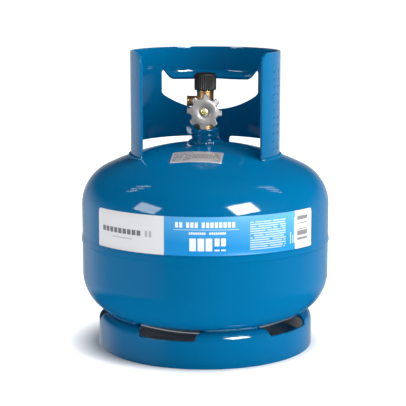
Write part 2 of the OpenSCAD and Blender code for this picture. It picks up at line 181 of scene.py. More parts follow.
def rounded(corners: Corners, closed: bool = False, steps: int = 4) -> np.ndarray:
    """An outline with its corners rounded by arcs that touch both sides.

    Args:
        corners: each corner's two coordinates and its fillet radius.
        closed: whether the last corner joins the first.
        steps: how many pieces each arc has.

    Returns:
        The outline's points, in order.
    """
    xy = np.array([c[:2] for c in corners], float)
    out = []
    for i, (x, y, r) in enumerate(corners):
        here = np.array([x, y], float)
        if r <= 0 or (not closed and i in (0, len(corners) - 1)):
            out.append(here)
            continue
        back = xy[i - 1] - here
        ahead = xy[(i + 1) % len(xy)] - here
        back, ahead = back / np.linalg.norm(back), ahead / np.linalg.norm(ahead)
        half = math.acos(float(np.clip(back @ ahead, -1, 1))) / 2
        centre = here + (back + ahead) / np.linalg.norm(back + ahead) * r / math.sin(half)
        a = here + back * r / math.tan(half) - centre
        b = here + ahead * r / math.tan(half) - centre
        swing = math.pi - 2 * half
        t = np.linspace(0, 1, steps + 1)[:, None]
        out.extend(centre + (np.sin((1 - t) * swing) * a + np.sin(t * swing) * b) / math.sin(swing))
    return np.array(out)


def lathe(
    outline: np.ndarray,
    segments: int = 96,
    closed: bool = False,
    flute: Callable[[np.ndarray, np.ndarray], np.ndarray] | None = None,
) -> Surface:
    """An outline of radius and height turned about +Z: each point becomes a circle.

    Args:
        outline: rows of radius and height, going up on the outside.
        segments: points round the circle.
        closed: whether the outline is a loop, as on a ring.
        flute: gives the change of radius from the ring's number and the angle.

    Returns:
        The turned surface.
    """
    loop = np.vstack([outline, outline[:1]]) if closed else outline
    angle = np.linspace(0, 2 * math.pi, segments, endpoint=False)
    radius = np.repeat(loop[:, :1], segments, axis=1)
    if flute is not None:
        radius = radius + flute(np.arange(len(loop))[:, None], angle[None, :])
    x, y = radius * np.cos(angle), radius * np.sin(angle)
    z = np.repeat(loop[:, 1:], segments, axis=1)
    return Surface(np.stack([x, y, z], -1).reshape(-1, 3), quads(len(loop), segments))


def turned(corners: Corners, segments: int = 96, closed: bool = False) -> Surface:
    """A lathe of a rounded outline."""
    return lathe(rounded(corners, closed), segments, closed)


def loft(rings: np.ndarray) -> Surface:
    """Faces between stacked closed rings of points, given as an array of ring, point and coordinate."""
    return Surface(rings.reshape(-1, 3), quads(rings.shape[0], rings.shape[1]))


def tube(path: np.ndarray, radius: np.ndarray, sides: int) -> Surface:
    """A round bead along a level or gently rising path: each point of the path becomes a ring across it.

    Args:
        path: points along the middle of the bead.
        radius: radius at each point for each side, or one column for a round bead.
        sides: points round the bead.

    Returns:
        The bead's surface.
    """
    along = np.gradient(path, axis=0)
    along /= np.linalg.norm(along, axis=1, keepdims=True)
    across = np.cross((0.0, 0.0, 1.0), along)
    across /= np.linalg.norm(across, axis=1, keepdims=True)
    upright = np.cross(along, across)
    a = np.linspace(0, 2 * math.pi, sides, endpoint=False)
    swing = np.cos(a)[None, :, None] * across[:, None] + np.sin(a)[None, :, None] * upright[:, None]
    return loft(path[:, None] + swing * radius[:, :, None])


def pebble(size: Sequence[float], power: float = 4.0, rows: int = 10, columns: int = 24) -> Surface:
    """A rounded block: a ball whose sines and cosines are raised to 2 over the power, then stretched.

    Args:
        size: the block's three sizes, in millimetres.
        power: 2 for a ball, and more for a squarer block.
        rows: rings from foot to top.
        columns: points round a ring.

    Returns:
        The block, round its own origin.
    """
    lean = np.linspace(-math.pi / 2, math.pi / 2, rows)[:, None]
    turn = np.linspace(0, 2 * math.pi, columns, endpoint=False)[None, :]

    def soft(v: np.ndarray) -> np.ndarray:
        """The value's sign times its size raised to the block's power."""
        return np.sign(v) * np.abs(v) ** (2 / power)

    unit = [soft(np.cos(lean)) * soft(np.cos(turn)), soft(np.cos(lean)) * soft(np.sin(turn))]
    height = np.repeat(soft(np.sin(lean)), columns, axis=1)
    rings = np.stack([unit[0] * size[0] / 2, unit[1] * size[1] / 2, height * size[2] / 2], -1)
    return loft(rings)


# ---------------------------------------------------------------- shader maths


class Value:
    """A shader socket that takes part in Python expressions, each of which adds a Math node."""

    def __init__(self, shader: Shader, socket: bpy.types.NodeSocket) -> None:
        """Keeps the shader and its socket."""
        self.shader = shader
        self.socket = socket

    def math(self, operation: str, *others: Value | float, flip: bool = False) -> Value:
        """The result of one Math operation on this value and others.

        Args:
            operation: the Math node's operation.
            others: its other inputs.
            flip: whether the inputs change places.

        Returns:
            The result.
        """
        inputs = [self, *others]
        if flip:
            inputs.reverse()
        return self.shader.node("ShaderNodeMath", {"operation": operation}, dict(enumerate(inputs)))

    def __add__(self, other: Value | float) -> Value:
        """Sum."""
        return self.math("ADD", other)

    def __sub__(self, other: Value | float) -> Value:
        """Difference."""
        return self.math("SUBTRACT", other)

    def __rsub__(self, other: float) -> Value:
        """Difference from a number."""
        return self.math("SUBTRACT", other, flip=True)

    def __mul__(self, other: Value | float) -> Value:
        """Product."""
        return self.math("MULTIPLY", other)

    def __truediv__(self, other: Value | float) -> Value:
        """Quotient."""
        return self.math("DIVIDE", other)

    def __gt__(self, other: Value | float) -> Value:
        """1 where this is greater, else 0."""
        return self.math("GREATER_THAN", other)

    def __lt__(self, other: Value | float) -> Value:
        """1 where this is less, else 0."""
        return self.math("LESS_THAN", other)

    __radd__ = __add__
    __rmul__ = __mul__

    def within(self, low: float, high: float) -> Value:
        """1 between two numbers, else 0."""
        return (self > low) * (self < high)

    def floor(self) -> Value:
        """Whole part."""
        return self.math("FLOOR")

    def fraction(self) -> Value:
        """What is left over the whole part."""
        return self.math("FRACT")

    def clamped(self) -> Value:
        """The value held between 0 and 1."""
        return self.math("MINIMUM", 1.0).math("MAXIMUM", 0.0)

    def ramp(self, start: float, stop: float) -> Value:
        """0 up to one number, 1 from the other on, and straight between."""
        return ((self - start) / (stop - start)).clamped()


class Shader:
    """One material's node tree, with a Principled shader at its end."""

    def __init__(self, name: str) -> None:
        """Makes the material and its shader.

        Args:
            name: the material's name.
        """
        self.material = bpy.data.materials.new(name)
        self.material.use_nodes = True
        self.tree = self.material.node_tree
        self.tree.nodes.clear()
        self.end = self.tree.nodes.new("ShaderNodeBsdfPrincipled")
        out = self.tree.nodes.new("ShaderNodeOutputMaterial")
        self.tree.links.new(self.end.outputs[0], out.inputs["Surface"])

    @classmethod
    def of_tree(cls, tree: bpy.types.NodeTree) -> Shader:
        """A shader that works on an emptied tree of the world's.

        Args:
            tree: the world's node tree.

        Returns:
            The shader, which has no Principled node.
        """
        made = cls.__new__(cls)
        made.tree = tree
        tree.nodes.clear()
        return made

    def node(
        self, kind: str, settings: dict | None = None, inputs: dict | None = None, output: int | str = 0
    ) -> Value:
        """Adds a node.

        Args:
            kind: the node's type.
            settings: its properties, set before its sockets.
            inputs: values or links by socket name or number.
            output: the output to return.

        Returns:
            The output as a value.
        """
        made = self.tree.nodes.new(kind)
        for key, value in (settings or {}).items():
            setattr(made, key, value)
        for key, value in (inputs or {}).items():
            self.feed(made.inputs[key], value)
        return Value(self, made.outputs[output])

    def feed(self, socket: bpy.types.NodeSocket, value: Value | float | Sequence[float]) -> None:
        """Links a value to a socket, or sets a number, vector or colour on it."""
        if isinstance(value, Value):
            self.tree.links.new(value.socket, socket)
        elif isinstance(value, tuple) and socket.type == "RGBA" and len(value) == 3:
            socket.default_value = (*value, 1)
        else:
            socket.default_value = value

    def set(self, **sockets: Value | float | Sequence[float]) -> None:
        """Sets the Principled shader's sockets; an underscore stands for a space."""
        for key, value in sockets.items():
            self.feed(self.end.inputs[key.replace("_", " ")], value)

    def place(self) -> Value:
        """The point's place on the object, in metres."""
        return self.node("ShaderNodeTexCoord", output="Object")

    def parts(self, vector: Value) -> list[Value]:
        """A vector's three numbers."""
        first = self.node("ShaderNodeSeparateXYZ", inputs={0: vector})
        return [Value(self, socket) for socket in first.socket.node.outputs]

    def noise(self, scale: float, detail: float = 3) -> Value:
        """Cloudy noise from 0 to 1, with so many features a metre.

        Args:
            scale: features a metre.
            detail: how many finer layers it has.

        Returns:
            The noise.
        """
        inputs = {"Vector": self.place(), "Scale": scale, "Detail": detail}
        return self.node("ShaderNodeTexNoise", inputs=inputs)

    def chance(self, first: Value, second: Value) -> Value:
        """A random number from 0 to 1 for each pair of numbers, the same each run.

        Args:
            first: one number.
            second: the other.

        Returns:
            The random number.
        """
        seed = self.node("ShaderNodeCombineXYZ", inputs={0: first, 1: second})
        return self.node("ShaderNodeTexWhiteNoise", {"noise_dimensions": "2D"}, {"Vector": seed})

    def specks(self, scale: float, size: float) -> Value:
        """1 in small round specks scattered through space, else 0."""
        cell = self.node("ShaderNodeTexVoronoi", inputs={"Vector": self.place(), "Scale": scale})
        return cell < size

    def mix(self, factor: Value | float, first: Value | Colour, second: Value | Colour) -> Value:
        """Blends two colours.

        Args:
            factor: 0 for the first colour, 1 for the second.
            first: one colour.
            second: the other.

        Returns:
            The blend.
        """
        inputs = {0: factor, 6: first, 7: second}
        return self.node("ShaderNodeMix", {"data_type": "RGBA"}, inputs, output=2)

    def bump(self, height: Value, depth: float, strength: float = 1.0) -> None:
        """Feeds the normal from a height, whose 1 stands so many metres proud.

        Args:
            height: the height's pattern.
            depth: metres that a height of 1 stands proud.
            strength: how much of the bump is used.
        """
        inputs = {"Height": height, "Distance": depth, "Strength": strength}
        self.set(Normal=self.node("ShaderNodeBump", inputs=inputs))


# ---------------------------------------------------------------- finishes


@dataclass(frozen=True)
class Paint:
    """Gloss enamel on steel, with a fine orange peel and a little dust."""

    colour: Colour = (0.0, 0.125, 0.29)
    dust: Colour = (0.16, 0.3, 0.44)
    roughness: float = 0.05
    specular: float = 0.22
    peel: float = 260.0
    peel_depth: float = 0.00008

    def material(self) -> bpy.types.Material:
        """The paint's material.

        Returns:
            The material.
        """
        s = Shader("blue_enamel")
        cloud = s.noise(9, 2)
        deep = tuple(c * 0.86 for c in self.colour)
        dust = s.specks(900, 0.045) * (s.noise(30) > 0.56)
        s.set(
            Base_Color=s.mix(dust * 0.35, s.mix(cloud, deep, self.colour), self.dust),
            Roughness=self.roughness + s.noise(45, 4) * 0.05 + dust * 0.3,
            Specular_IOR_Level=self.specular,
        )
        s.bump(s.noise(self.peel, 1.5) + s.noise(1400, 1) * 0.12, self.peel_depth, 0.35)
        return s.material


@dataclass(frozen=True)
class Metal:
    """Bare or plated metal, with cloudy tarnish and a fine grain."""

    name: str
    colour: Colour
    stain: Colour
    roughness: float = 0.3
    grain: float = 1200.0
    grain_depth: float = 0.00003
    metallic: float = 1.0

    def material(self) -> bpy.types.Material:
        """The metal's material.

        Returns:
            The material.
        """
        s = Shader(self.name)
        patch = s.noise(130, 4)
        fine = s.noise(self.grain, 3)
        stained = (patch - 0.45).clamped() * 2.2
        s.set(
            Base_Color=s.mix(stained.clamped(), self.colour, self.stain),
            Metallic=self.metallic,
            Roughness=self.roughness + fine * 0.14 + stained * 0.12,
        )
        s.bump(fine + patch * 0.6, self.grain_depth)
        return s.material


@dataclass(frozen=True)
class Moulded:
    """Moulded plastic or rubber, with a fine grain and faint cloudiness."""

    name: str
    colour: Colour
    roughness: float = 0.45
    grain: float = 2200.0
    grain_depth: float = 0.00003

    def material(self) -> bpy.types.Material:
        """The plastic's material.

        Returns:
            The material.
        """
        s = Shader(self.name)
        cloud = s.noise(160, 3)
        pale = tuple(min(1.0, c * 1.7 + 0.006) for c in self.colour)
        s.set(
            Base_Color=s.mix(cloud * 0.6, self.colour, pale),
            Roughness=self.roughness + cloud * 0.14,
            Specular_IOR_Level=0.22,
        )
        s.bump(s.noise(self.grain, 2), self.grain_depth)
        return s.material


@dataclass(frozen=True)
class Row:
    """A row of plain upright blocks, or one bar where there is no pitch.

    Its places are in millimetres: along from the panel's origin, and up from the label's foot.
    """

    start: float
    stop: float
    low: float
    high: float
    pitch: float = 0.0
    share: float = 0.72
    strength: float = 1.0

    def mask(self, u: Value, v: Value) -> Value:
        """The row's strength on its blocks, else 0.

        Args:
            u: millimetres along from the panel's origin.
            v: millimetres up.

        Returns:
            The strength at a point.
        """
        inside = u.within(self.start, self.stop) * v.within(self.low, self.high) * self.strength
        if not self.pitch:
            return inside
        return inside * (((u - self.start) / self.pitch).fraction() < self.share)


# Large blocks, two small ones and a faint fine row, from the middle of the pale panel
PALE_ROWS = (
    Row(-33, 17, 16, 21, 5.6, 0.78),
    Row(21, 28, 15.5, 21.5, 4.2, 0.6, 0.55),
    Row(-18, 6, 11.4, 12.8, 1.9, 0.6, 0.6),
)
# Heading, rule, small row, large blocks with their unit, and four upright bars, from the blue panel's edge
BLUE_ROWS = (
    Row(11, 18.6, 26.6, 31.8, 4.0),
    Row(21.5, 33, 26.6, 31.8, 4.0),
    Row(36, 68, 26.6, 31.8, 4.05),
    Row(9.5, 71, 24.3, 24.9, strength=0.55),
    Row(24, 40, 20.2, 22.4, 2.0, 0.75, 0.9),
    Row(43, 59, 20.2, 22.4, 2.0, 0.75, 0.9),
    Row(24.5, 46, 4.6, 16.6, 7.6, 0.8),
    Row(48, 59.5, 9.2, 16.6, 6.0, 0.75),
    Row(48, 59.5, 4.6, 6.0, 6.0, 0.75),
    Row(127, 127.8, 6, 17, strength=0.75),
    Row(129.8, 130.6, 6, 14, strength=0.75),
    Row(131.9, 132.9, 6, 31, strength=0.75),
    Row(134.4, 135.2, 6, 16, strength=0.75),
)
# Where the small print lies on the blue panel, and where the level bars lie on the last panel
FINE_PRINT = Row(82, 121, 4.5, 32, strength=0.6)
BAR_CODE = Row(3, 18.5, 8, 31.5, strength=0.82)


@dataclass(frozen=True)
class Print:
    """Printed vinyl: a pale panel, a shaded blue panel and a bar-code panel, with plain bars for the words.

    The piece's UV map gives millimetres along the label and up it.
    """

    length: float
    height: float
    split: float
    code_split: float
    white: Colour = (0.66, 0.655, 0.66)
    blue: Colour = (0.0, 0.23, 0.56)
    sky: Colour = (0.1, 0.38, 0.68)
    chalk: Colour = (0.72, 0.78, 0.8)
    ink: Colour = (0.1, 0.1, 0.11)
    line_pitch: float = 2.15
    stroke: float = 1.7
    code_pitch: float = 0.95

    def material(self) -> bpy.types.Material:
        """The label's material.

        Returns:
            The material.
        """
        s = Shader("label_print")
        u, v, _ = s.parts(s.node("ShaderNodeUVMap", {"uv_map": "print"}))
        shade = (u - self.split) / (self.code_split - self.split) * 0.3 + (v / self.height - 0.35) * 1.1
        blue = s.mix(shade.clamped(), self.blue, self.sky)
        pale = (u < self.split) + (u > self.code_split)
        base = s.mix(pale.clamped(), blue, self.white)
        grey = self.marks(PALE_ROWS, u - self.split / 2, v)
        base = s.mix(grey.clamped() * 0.9, base, self.ink)
        white = self.marks(BLUE_ROWS, u - self.split, v) + self.fine_print(s, u, v)
        base = s.mix(white.clamped(), base, self.chalk)
        base = s.mix(self.bar_code(s, u - self.code_split, v), base, self.ink)
        s.set(Base_Color=base, Roughness=0.34 + s.noise(300) * 0.08, Specular_IOR_Level=0.18)
        s.bump(s.noise(120, 2), 0.00005, 0.5)
        return s.material

    def marks(self, rows: Sequence[Row], u: Value, v: Value) -> Value:
        """The sum of rows that don't meet."""
        return reduce(add, [row.mask(u, v) for row in rows])

    def fine_print(self, s: Shader, u: Value, v: Value) -> Value:
        """Rows of short strokes with gaps at random, as small print looks from afar.

        Args:
            s: the shader.
            u: millimetres along the label.
            v: millimetres up.

        Returns:
            The strokes' strength.
        """
        line = (v / self.line_pitch).floor()
        cell = (u / self.stroke + line * 0.37).floor()
        stroke = ((v / self.line_pitch).fraction() < 0.5) * (s.chance(cell, line) > 0.1)
        return FINE_PRINT.mask(u - self.split, v) * stroke

    def bar_code(self, s: Shader, u: Value, v: Value) -> Value:
        """A bar code of level bars, there or not at random.

        Args:
            s: the shader.
            u: millimetres along from the panel's edge.
            v: millimetres up.

        Returns:
            The bars' strength.
        """
        level = (v / self.code_pitch).floor()
        chance = s.node("ShaderNodeTexWhiteNoise", {"noise_dimensions": "1D"}, {"W": level})
        return BAR_CODE.mask(u, v) * (chance > 0.42)


@dataclass(frozen=True)
class Stamped:
    """Satin plate with a plain border, small stamped strokes and upright bars. Its UV is in millimetres."""

    width: float
    height: float
    colour: Colour = (0.52, 0.5, 0.51)
    dark: Colour = (0.13, 0.1, 0.1)
    border: float = 2.4
    line_pitch: float = 3.1
    stroke: float = 0.9
    bar_pitch: float = 1.3

    def material(self) -> bpy.types.Material:
        """The plate's material.

        Returns:
            The material.
        """
        s = Shader("stamped_plate")
        u, v, _ = s.parts(s.node("ShaderNodeUVMap", {"uv_map": "print"}))
        inside = u.within(2, self.width - 2) * v.within(self.border, self.height - self.border)
        barred = u.within(self.width * 0.4, self.width * 0.8)
        line = v / self.line_pitch
        chance = s.chance((u / self.stroke).floor(), line.floor())
        strokes = (line.fraction() < 0.6) * (chance > 0.42) * inside
        bars = barred * v.within(7, 18) * ((u / self.bar_pitch).fraction() < 0.45)
        marks = (strokes * (1 - barred) + bars).clamped()
        s.set(
            Base_Color=s.mix(marks * 0.8, self.colour, self.dark),
            Metallic=0.55,
            Roughness=0.42 + s.noise(500) * 0.15,
        )
        s.bump(1 - marks, 0.00015)
        return s.material


# ---------------------------------------------------------------- making pieces


@dataclass
class Workshop:
    """Turns surfaces into pieces and remembers each finish's material."""

    materials: dict[str, bpy.types.Material] = field(default_factory=dict)
    edge_steps: int = 3
    edge_angle: float = 50.0

    def finish(self, slot: str) -> bpy.types.Material:
        """The material of one of the record's slots, made once."""
        if slot not in self.materials:
            self.materials[slot] = FINISHES[slot].material()
        return self.materials[slot]

    def piece(
        self,
        name: str,
        surface: Surface,
        body: str,
        slot: str,
        nodes: Sequence[str] = (),
        sharp: float = 38.0,
        sheet: float = 0.0,
        edge: float = 0.0,
        uv: np.ndarray | None = None,
    ) -> bpy.types.Object:
        """Makes a mesh object that rides on a body.

        Args:
            name: the piece's name.
            surface: its surface, in millimetres.
            body: the body that it rides on.
            slot: the record's material slot.
            nodes: the CAD nodes that it stands for.
            sharp: the angle in degrees past which an edge stays sharp.
            sheet: thickness to give an open surface, in millimetres.
            edge: radius of the rounding of a sheet's edges, in millimetres.
            uv: a place in millimetres for each point, for printed pieces.

        Returns:
            The object.
        """
        mesh = bpy.data.meshes.new(name)
        mesh.from_pydata((surface.points * MM).tolist(), [], surface.faces.tolist())
        if uv is not None:
            self.map_print(mesh, uv)
        self.weld(mesh)
        mesh.shade_smooth()
        mesh.set_sharp_from_angle(angle=math.radians(sharp))
        mesh.materials.append(self.finish(slot))
        made = bpy.data.objects.new(name, mesh)
        bpy.context.scene.collection.objects.link(made)
        if sheet:
            solid = made.modifiers.new("thickness", "SOLIDIFY")
            solid.thickness = sheet * MM
            solid.offset = 0
        if edge:
            bevel = made.modifiers.new("edges", "BEVEL")
            bevel.width = edge * MM
            bevel.segments = self.edge_steps
            bevel.limit_method = "ANGLE"
            bevel.angle_limit = math.radians(self.edge_angle)
        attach(made, body)
        if nodes:
            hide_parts(*nodes)
        LOG.info("piece %s: %d faces, on %s", name, len(mesh.polygons), body)
        return made

    def map_print(self, mesh: bpy.types.Mesh, uv: np.ndarray) -> None:
        """Gives a mesh its UV map, from a place for each point.

        Args:
            mesh: the mesh.
            uv: a place in millimetres for each point.
        """
        layer = mesh.uv_layers.new(name="print")
        corner = np.empty(len(mesh.loops), np.int32)
        mesh.loops.foreach_get("vertex_index", corner)
        layer.data.foreach_set("uv", uv[corner].astype(np.float32).ravel())

    def weld(self, mesh: bpy.types.Mesh) -> None:
        """Joins points in one place, which closes seams and poles, and drops faces that vanish."""
        work = bmesh.new()
        work.from_mesh(mesh)
        bmesh.ops.remove_doubles(work, verts=work.verts, dist=JOIN_GAP)
        bmesh.ops.dissolve_degenerate(work, edges=work.edges, dist=THIN_FACE)
        work.to_mesh(mesh)
        work.free()

    def dress(self, node: str, slot: str) -> None:
        """Gives a CAD node that keeps its own shape its finish.

        Args:
            node: the node's name.
            slot: the record's material slot.
        """
        made = bpy.data.objects[node]
        made.data.materials.clear()
        made.data.materials.append(self.finish(slot))


# ---------------------------------------------------------------- the vessel

VESSEL_R = 125.0
VESSEL_T = 2.2
KNUCKLE_R = 42.5
LOW_Z, HIGH_Z = 75.0, 144.0
DISH_LOW, DISH_HIGH = 60.6, 61.6
TOP_Z = HIGH_Z + DISH_HIGH
GUARD_TURN = -3.5
SPINDLE_Z = 239.0
RELIEF_Z = 247.0
# A weld bead's points round it, its step along, and the distance between its ripples
BEAD_SIDES, BEAD_STEP, BEAD_PITCH = 14, 0.45, 2.4


def crown_radius(height: float) -> float:
    """Radius of the crown that runs into the knuckle, for a dished end so high."""
    flat = VESSEL_R - KNUCKLE_R
    return (height**2 + flat**2 - KNUCKLE_R**2) / (2 * (height - KNUCKLE_R))


def dish(height: float, grow: float, stop: float, steps: int = 26) -> np.ndarray:
    """Outline of a dished end from its rim inwards: a knuckle arc, then a crown arc.

    Args:
        height: the end's outside height.
        grow: how far outside the steel's face the outline lies.
        stop: radius where the outline ends.
        steps: points on each arc.

    Returns:
        Rows of radius and height over the rim.
    """
    crown = crown_radius(height)
    flat = VESSEL_R - KNUCKLE_R
    lean = math.asin(flat / (crown - KNUCKLE_R))
    a = np.linspace(0, math.pi / 2 - lean, steps)
    knuckle = np.column_stack([flat + (KNUCKLE_R + grow) * np.cos(a), (KNUCKLE_R + grow) * np.sin(a)])
    b = np.linspace(lean, math.asin(stop / (crown + grow)), steps)[1:]
    top = np.column_stack([(crown + grow) * np.sin(b), height - crown + (crown + grow) * np.cos(b)])
    return np.vstack([knuckle, top])


def dome_height(radius: np.ndarray | float) -> np.ndarray | float:
    """Height of the upper dished end's crown at a radius."""
    crown = crown_radius(DISH_HIGH)
    return TOP_Z - crown + np.sqrt(crown**2 - np.square(radius))


@dataclass
class Vessel:
    """The two drawn halves and the joint between them."""

    seam_z: float = 111.5
    seam_half: float = 1.5
    hole_r: float = 12.4
    segments: int = 288
    bead_low: float = 106.4
    bead_high: float = 117.6
    bead_out: float = 1.0
    bead_sunk: float = 0.15
    bead_deep: float = 1.5
    weld_line: float = 0.22

    def build(self, shop: Workshop) -> None:
        """Makes both halves and the girth joint.

        Args:
            shop: makes and dresses the pieces.
        """
        shop.piece("upper_half", self.half(1), "cylinder", "blue_paint", ["upper_shell"])
        shop.piece("lower_half", self.half(-1), "cylinder", "blue_paint", ["lower_shell"])
        shop.piece("girth_joint", self.joint(), "cylinder", "blue_paint", ["girth_weld"])

    def half(self, side: int) -> Surface:
        """One drawn half: out along its outer face and back along its inner face, turned about the axis.

        Args:
            side: 1 for the upper half, -1 for the lower.

        Returns:
            The surface, in millimetres.
        """
        rim = self.seam_z + side * self.seam_half
        base, height = (HIGH_Z, DISH_HIGH) if side > 0 else (LOW_Z, DISH_LOW)
        stop = self.hole_r if side > 0 else 0.0
        outer = dish(height, 0, stop) * (1, side) + (0, base)
        inner = dish(height, -VESSEL_T, stop) * (1, side) + (0, base)
        loop = np.vstack([[[VESSEL_R, rim]], outer, inner[::-1], [[VESSEL_R - VESSEL_T, rim]]])
        return lathe(loop if side > 0 else loop[::-1], self.segments, closed=True)

    def joint(self) -> Surface:
        """The proud band: it rises softly at the top and drops over a fine weld line at the foot.

        Returns:
            The surface, in millimetres.
        """
        t = np.linspace(0, 1, 22)
        fall = 0.5 + 0.5 * np.cos(np.clip((t - 0.3) / 0.7, 0, 1) * math.pi)
        rise = np.clip(t / 0.14, 0, 1) ** 0.6 * fall
        ridge = self.weld_line * np.exp(-(((t - 0.1) / 0.05) ** 2))
        radius = VESSEL_R - self.bead_sunk + (self.bead_out - self.bead_sunk) * rise + ridge
        face = np.column_stack([radius, self.bead_low + (self.bead_high - self.bead_low) * t])
        back = VESSEL_R - self.bead_deep
        loop = np.vstack([face, [[back, self.bead_high]], [[back, self.bead_low]]])

        def ripple(ring: np.ndarray, angle: np.ndarray) -> np.ndarray:
            """The weld line's small waves, only on the rings near the foot."""
            near = np.exp(-(((ring - 2.5) / 1.6) ** 2))
            return near * (0.07 * np.sin(angle * 211) + 0.05 * np.sin(angle * 83 + 1))

        return lathe(loop, 5 * self.segments, closed=True, flute=ripple)


@dataclass
class FootRing:
    """Vented foot ring and its welds. Its face runs up the wall, over the shoulder and a little inwards."""

    middle_r: float = 107.6
    wall_h: float = 26.0
    bend: float = 7.7
    flange: float = 2.6
    sheet: float = 2.6
    vents: int = 5
    first: float = -19.3
    vent_low: float = 27.0
    corner: float = 3.0
    half_low: float = 15.9
    half_high: float = 19.0
    slope: float = 0.28
    bead_at: tuple[float, float] = (99.2, 35.6)
    bead_r: float = 1.9

    def build(self, shop: Workshop) -> None:
        """Makes the ring and the weld at each tab."""
        shop.piece(
            "foot_ring_sheet", self.ring(), "cylinder", "blue_paint", ["foot_ring"],
            sheet=self.sheet, edge=0.55,
        )
        shop.piece("foot_ring_beads", self.beads(), "cylinder", "blue_paint", ["foot_ring_welds"])

    def face_point(self, along: np.ndarray) -> tuple[np.ndarray, np.ndarray]:
        """Radius and height at a distance up the wall, then round the bend, then along the flange.

        Args:
            along: millimetres along the section from the floor.

        Returns:
            The radii and the heights.
        """
        turn = np.clip((along - self.wall_h) / self.bend, 0, math.pi / 2)
        past = np.clip(along - self.wall_h - self.bend * math.pi / 2, 0, None)
        radius = self.middle_r - self.bend * (1 - np.cos(turn)) - past
        height = np.clip(along, 0, self.wall_h) + self.bend * np.sin(turn) + past * self.slope
        return radius, height

    def ring(self) -> Surface:
        """The sheet's middle face, whose columns lean with the vents' sides, less the cells in the vents.

        Returns:
            The surface, in millimetres.
        """
        end = self.wall_h + self.bend * math.pi / 2 + self.flange
        vent = self.spread(34)
        tab = np.linspace(-1, 1, 20)[1:-1]
        across = np.concatenate([vent, tab])
        in_vent = np.concatenate([np.ones(len(vent), bool), np.zeros(len(tab), bool)])
        side = (1 - np.abs(across)) * math.radians(self.half_low) * self.middle_r
        break_at = self.vent_low + np.where(in_vent, corner_fall(side, self.corner), self.corner)
        below = 12
        lower = np.linspace(0, 1, below + 1)[:, None] * break_at
        upper = break_at + np.linspace(0, 1, 15)[1:, None] * (end - break_at)
        along = np.vstack([lower, upper])
        lean = np.clip((along - self.vent_low - self.corner) / (end - self.vent_low - self.corner), 0, 1)
        half = self.half_low + (self.half_high - self.half_low) * lean
        pitch = 360 / self.vents
        angle = np.where(in_vent, across * half, pitch / 2 + across * (pitch / 2 - half))
        columns = angle.shape[1]
        turns = [self.first + pitch * i for i in range(self.vents)]
        angle = np.radians(np.hstack([angle + turn for turn in turns]))
        radius, height = self.face_point(np.tile(along, (1, self.vents)))
        points = round_axis(radius, angle, height)
        solid = np.ones((len(along) - 1, columns), bool)
        solid[below:, in_vent & np.roll(in_vent, -1)] = False
        faces = quads(len(along), columns * self.vents, keep=np.tile(solid, (1, self.vents)))
        return Surface(points.reshape(-1, 3), faces)

    def spread(self, count: int) -> np.ndarray:
        """Places from -1 to 1 that crowd towards both ends, for the vents' round corners."""
        t = np.linspace(-1, 1, count)
        return np.sin(t * math.pi / 2) * 0.55 + t * 0.45

    def beads(self) -> Surface:
        """A rippled bead along the top of each tab.

        Returns:
            The surface, in millimetres.
        """
        pitch = 360 / self.vents
        half = pitch / 2 - self.half_high - 1.2
        middles = [self.first + pitch * (i + 0.5) for i in range(self.vents)]
        return joined(arc_bead(*self.bead_at, m - half, m + half, self.bead_r) for m in middles)


def arc_bead(radius: float, height: float, start: float, stop: float, size: float) -> Surface:
    """A weld bead along a level arc: a tube with small overlapping waves, closed to a point at both ends.

    Args:
        radius: radius of the arc.
        height: height of the arc.
        start: angle from the front where it starts, in degrees.
        stop: angle where it ends.
        size: the bead's radius.

    Returns:
        The bead.
    """
    length = math.radians(stop - start) * radius
    steps = int(length / BEAD_STEP)
    t = np.linspace(0, 1, steps)
    path = round_axis(radius, np.radians(start + (stop - start) * t), height)
    side = np.linspace(0, 2 * math.pi, BEAD_SIDES, endpoint=False)[None, :]
    wave = np.sin(t[:, None] * length / BEAD_PITCH * 2 * math.pi + 1.4 * np.sin(side))
    drift = 0.05 * np.sin(t[:, None] * length / 17)
    end = np.sqrt(np.clip(np.minimum(t, 1 - t)[:, None] * length / (1.3 * size), 0, 1))
    swell = size * (1 + 0.075 * wave + drift) * end
    return tube(path, swell, BEAD_SIDES)


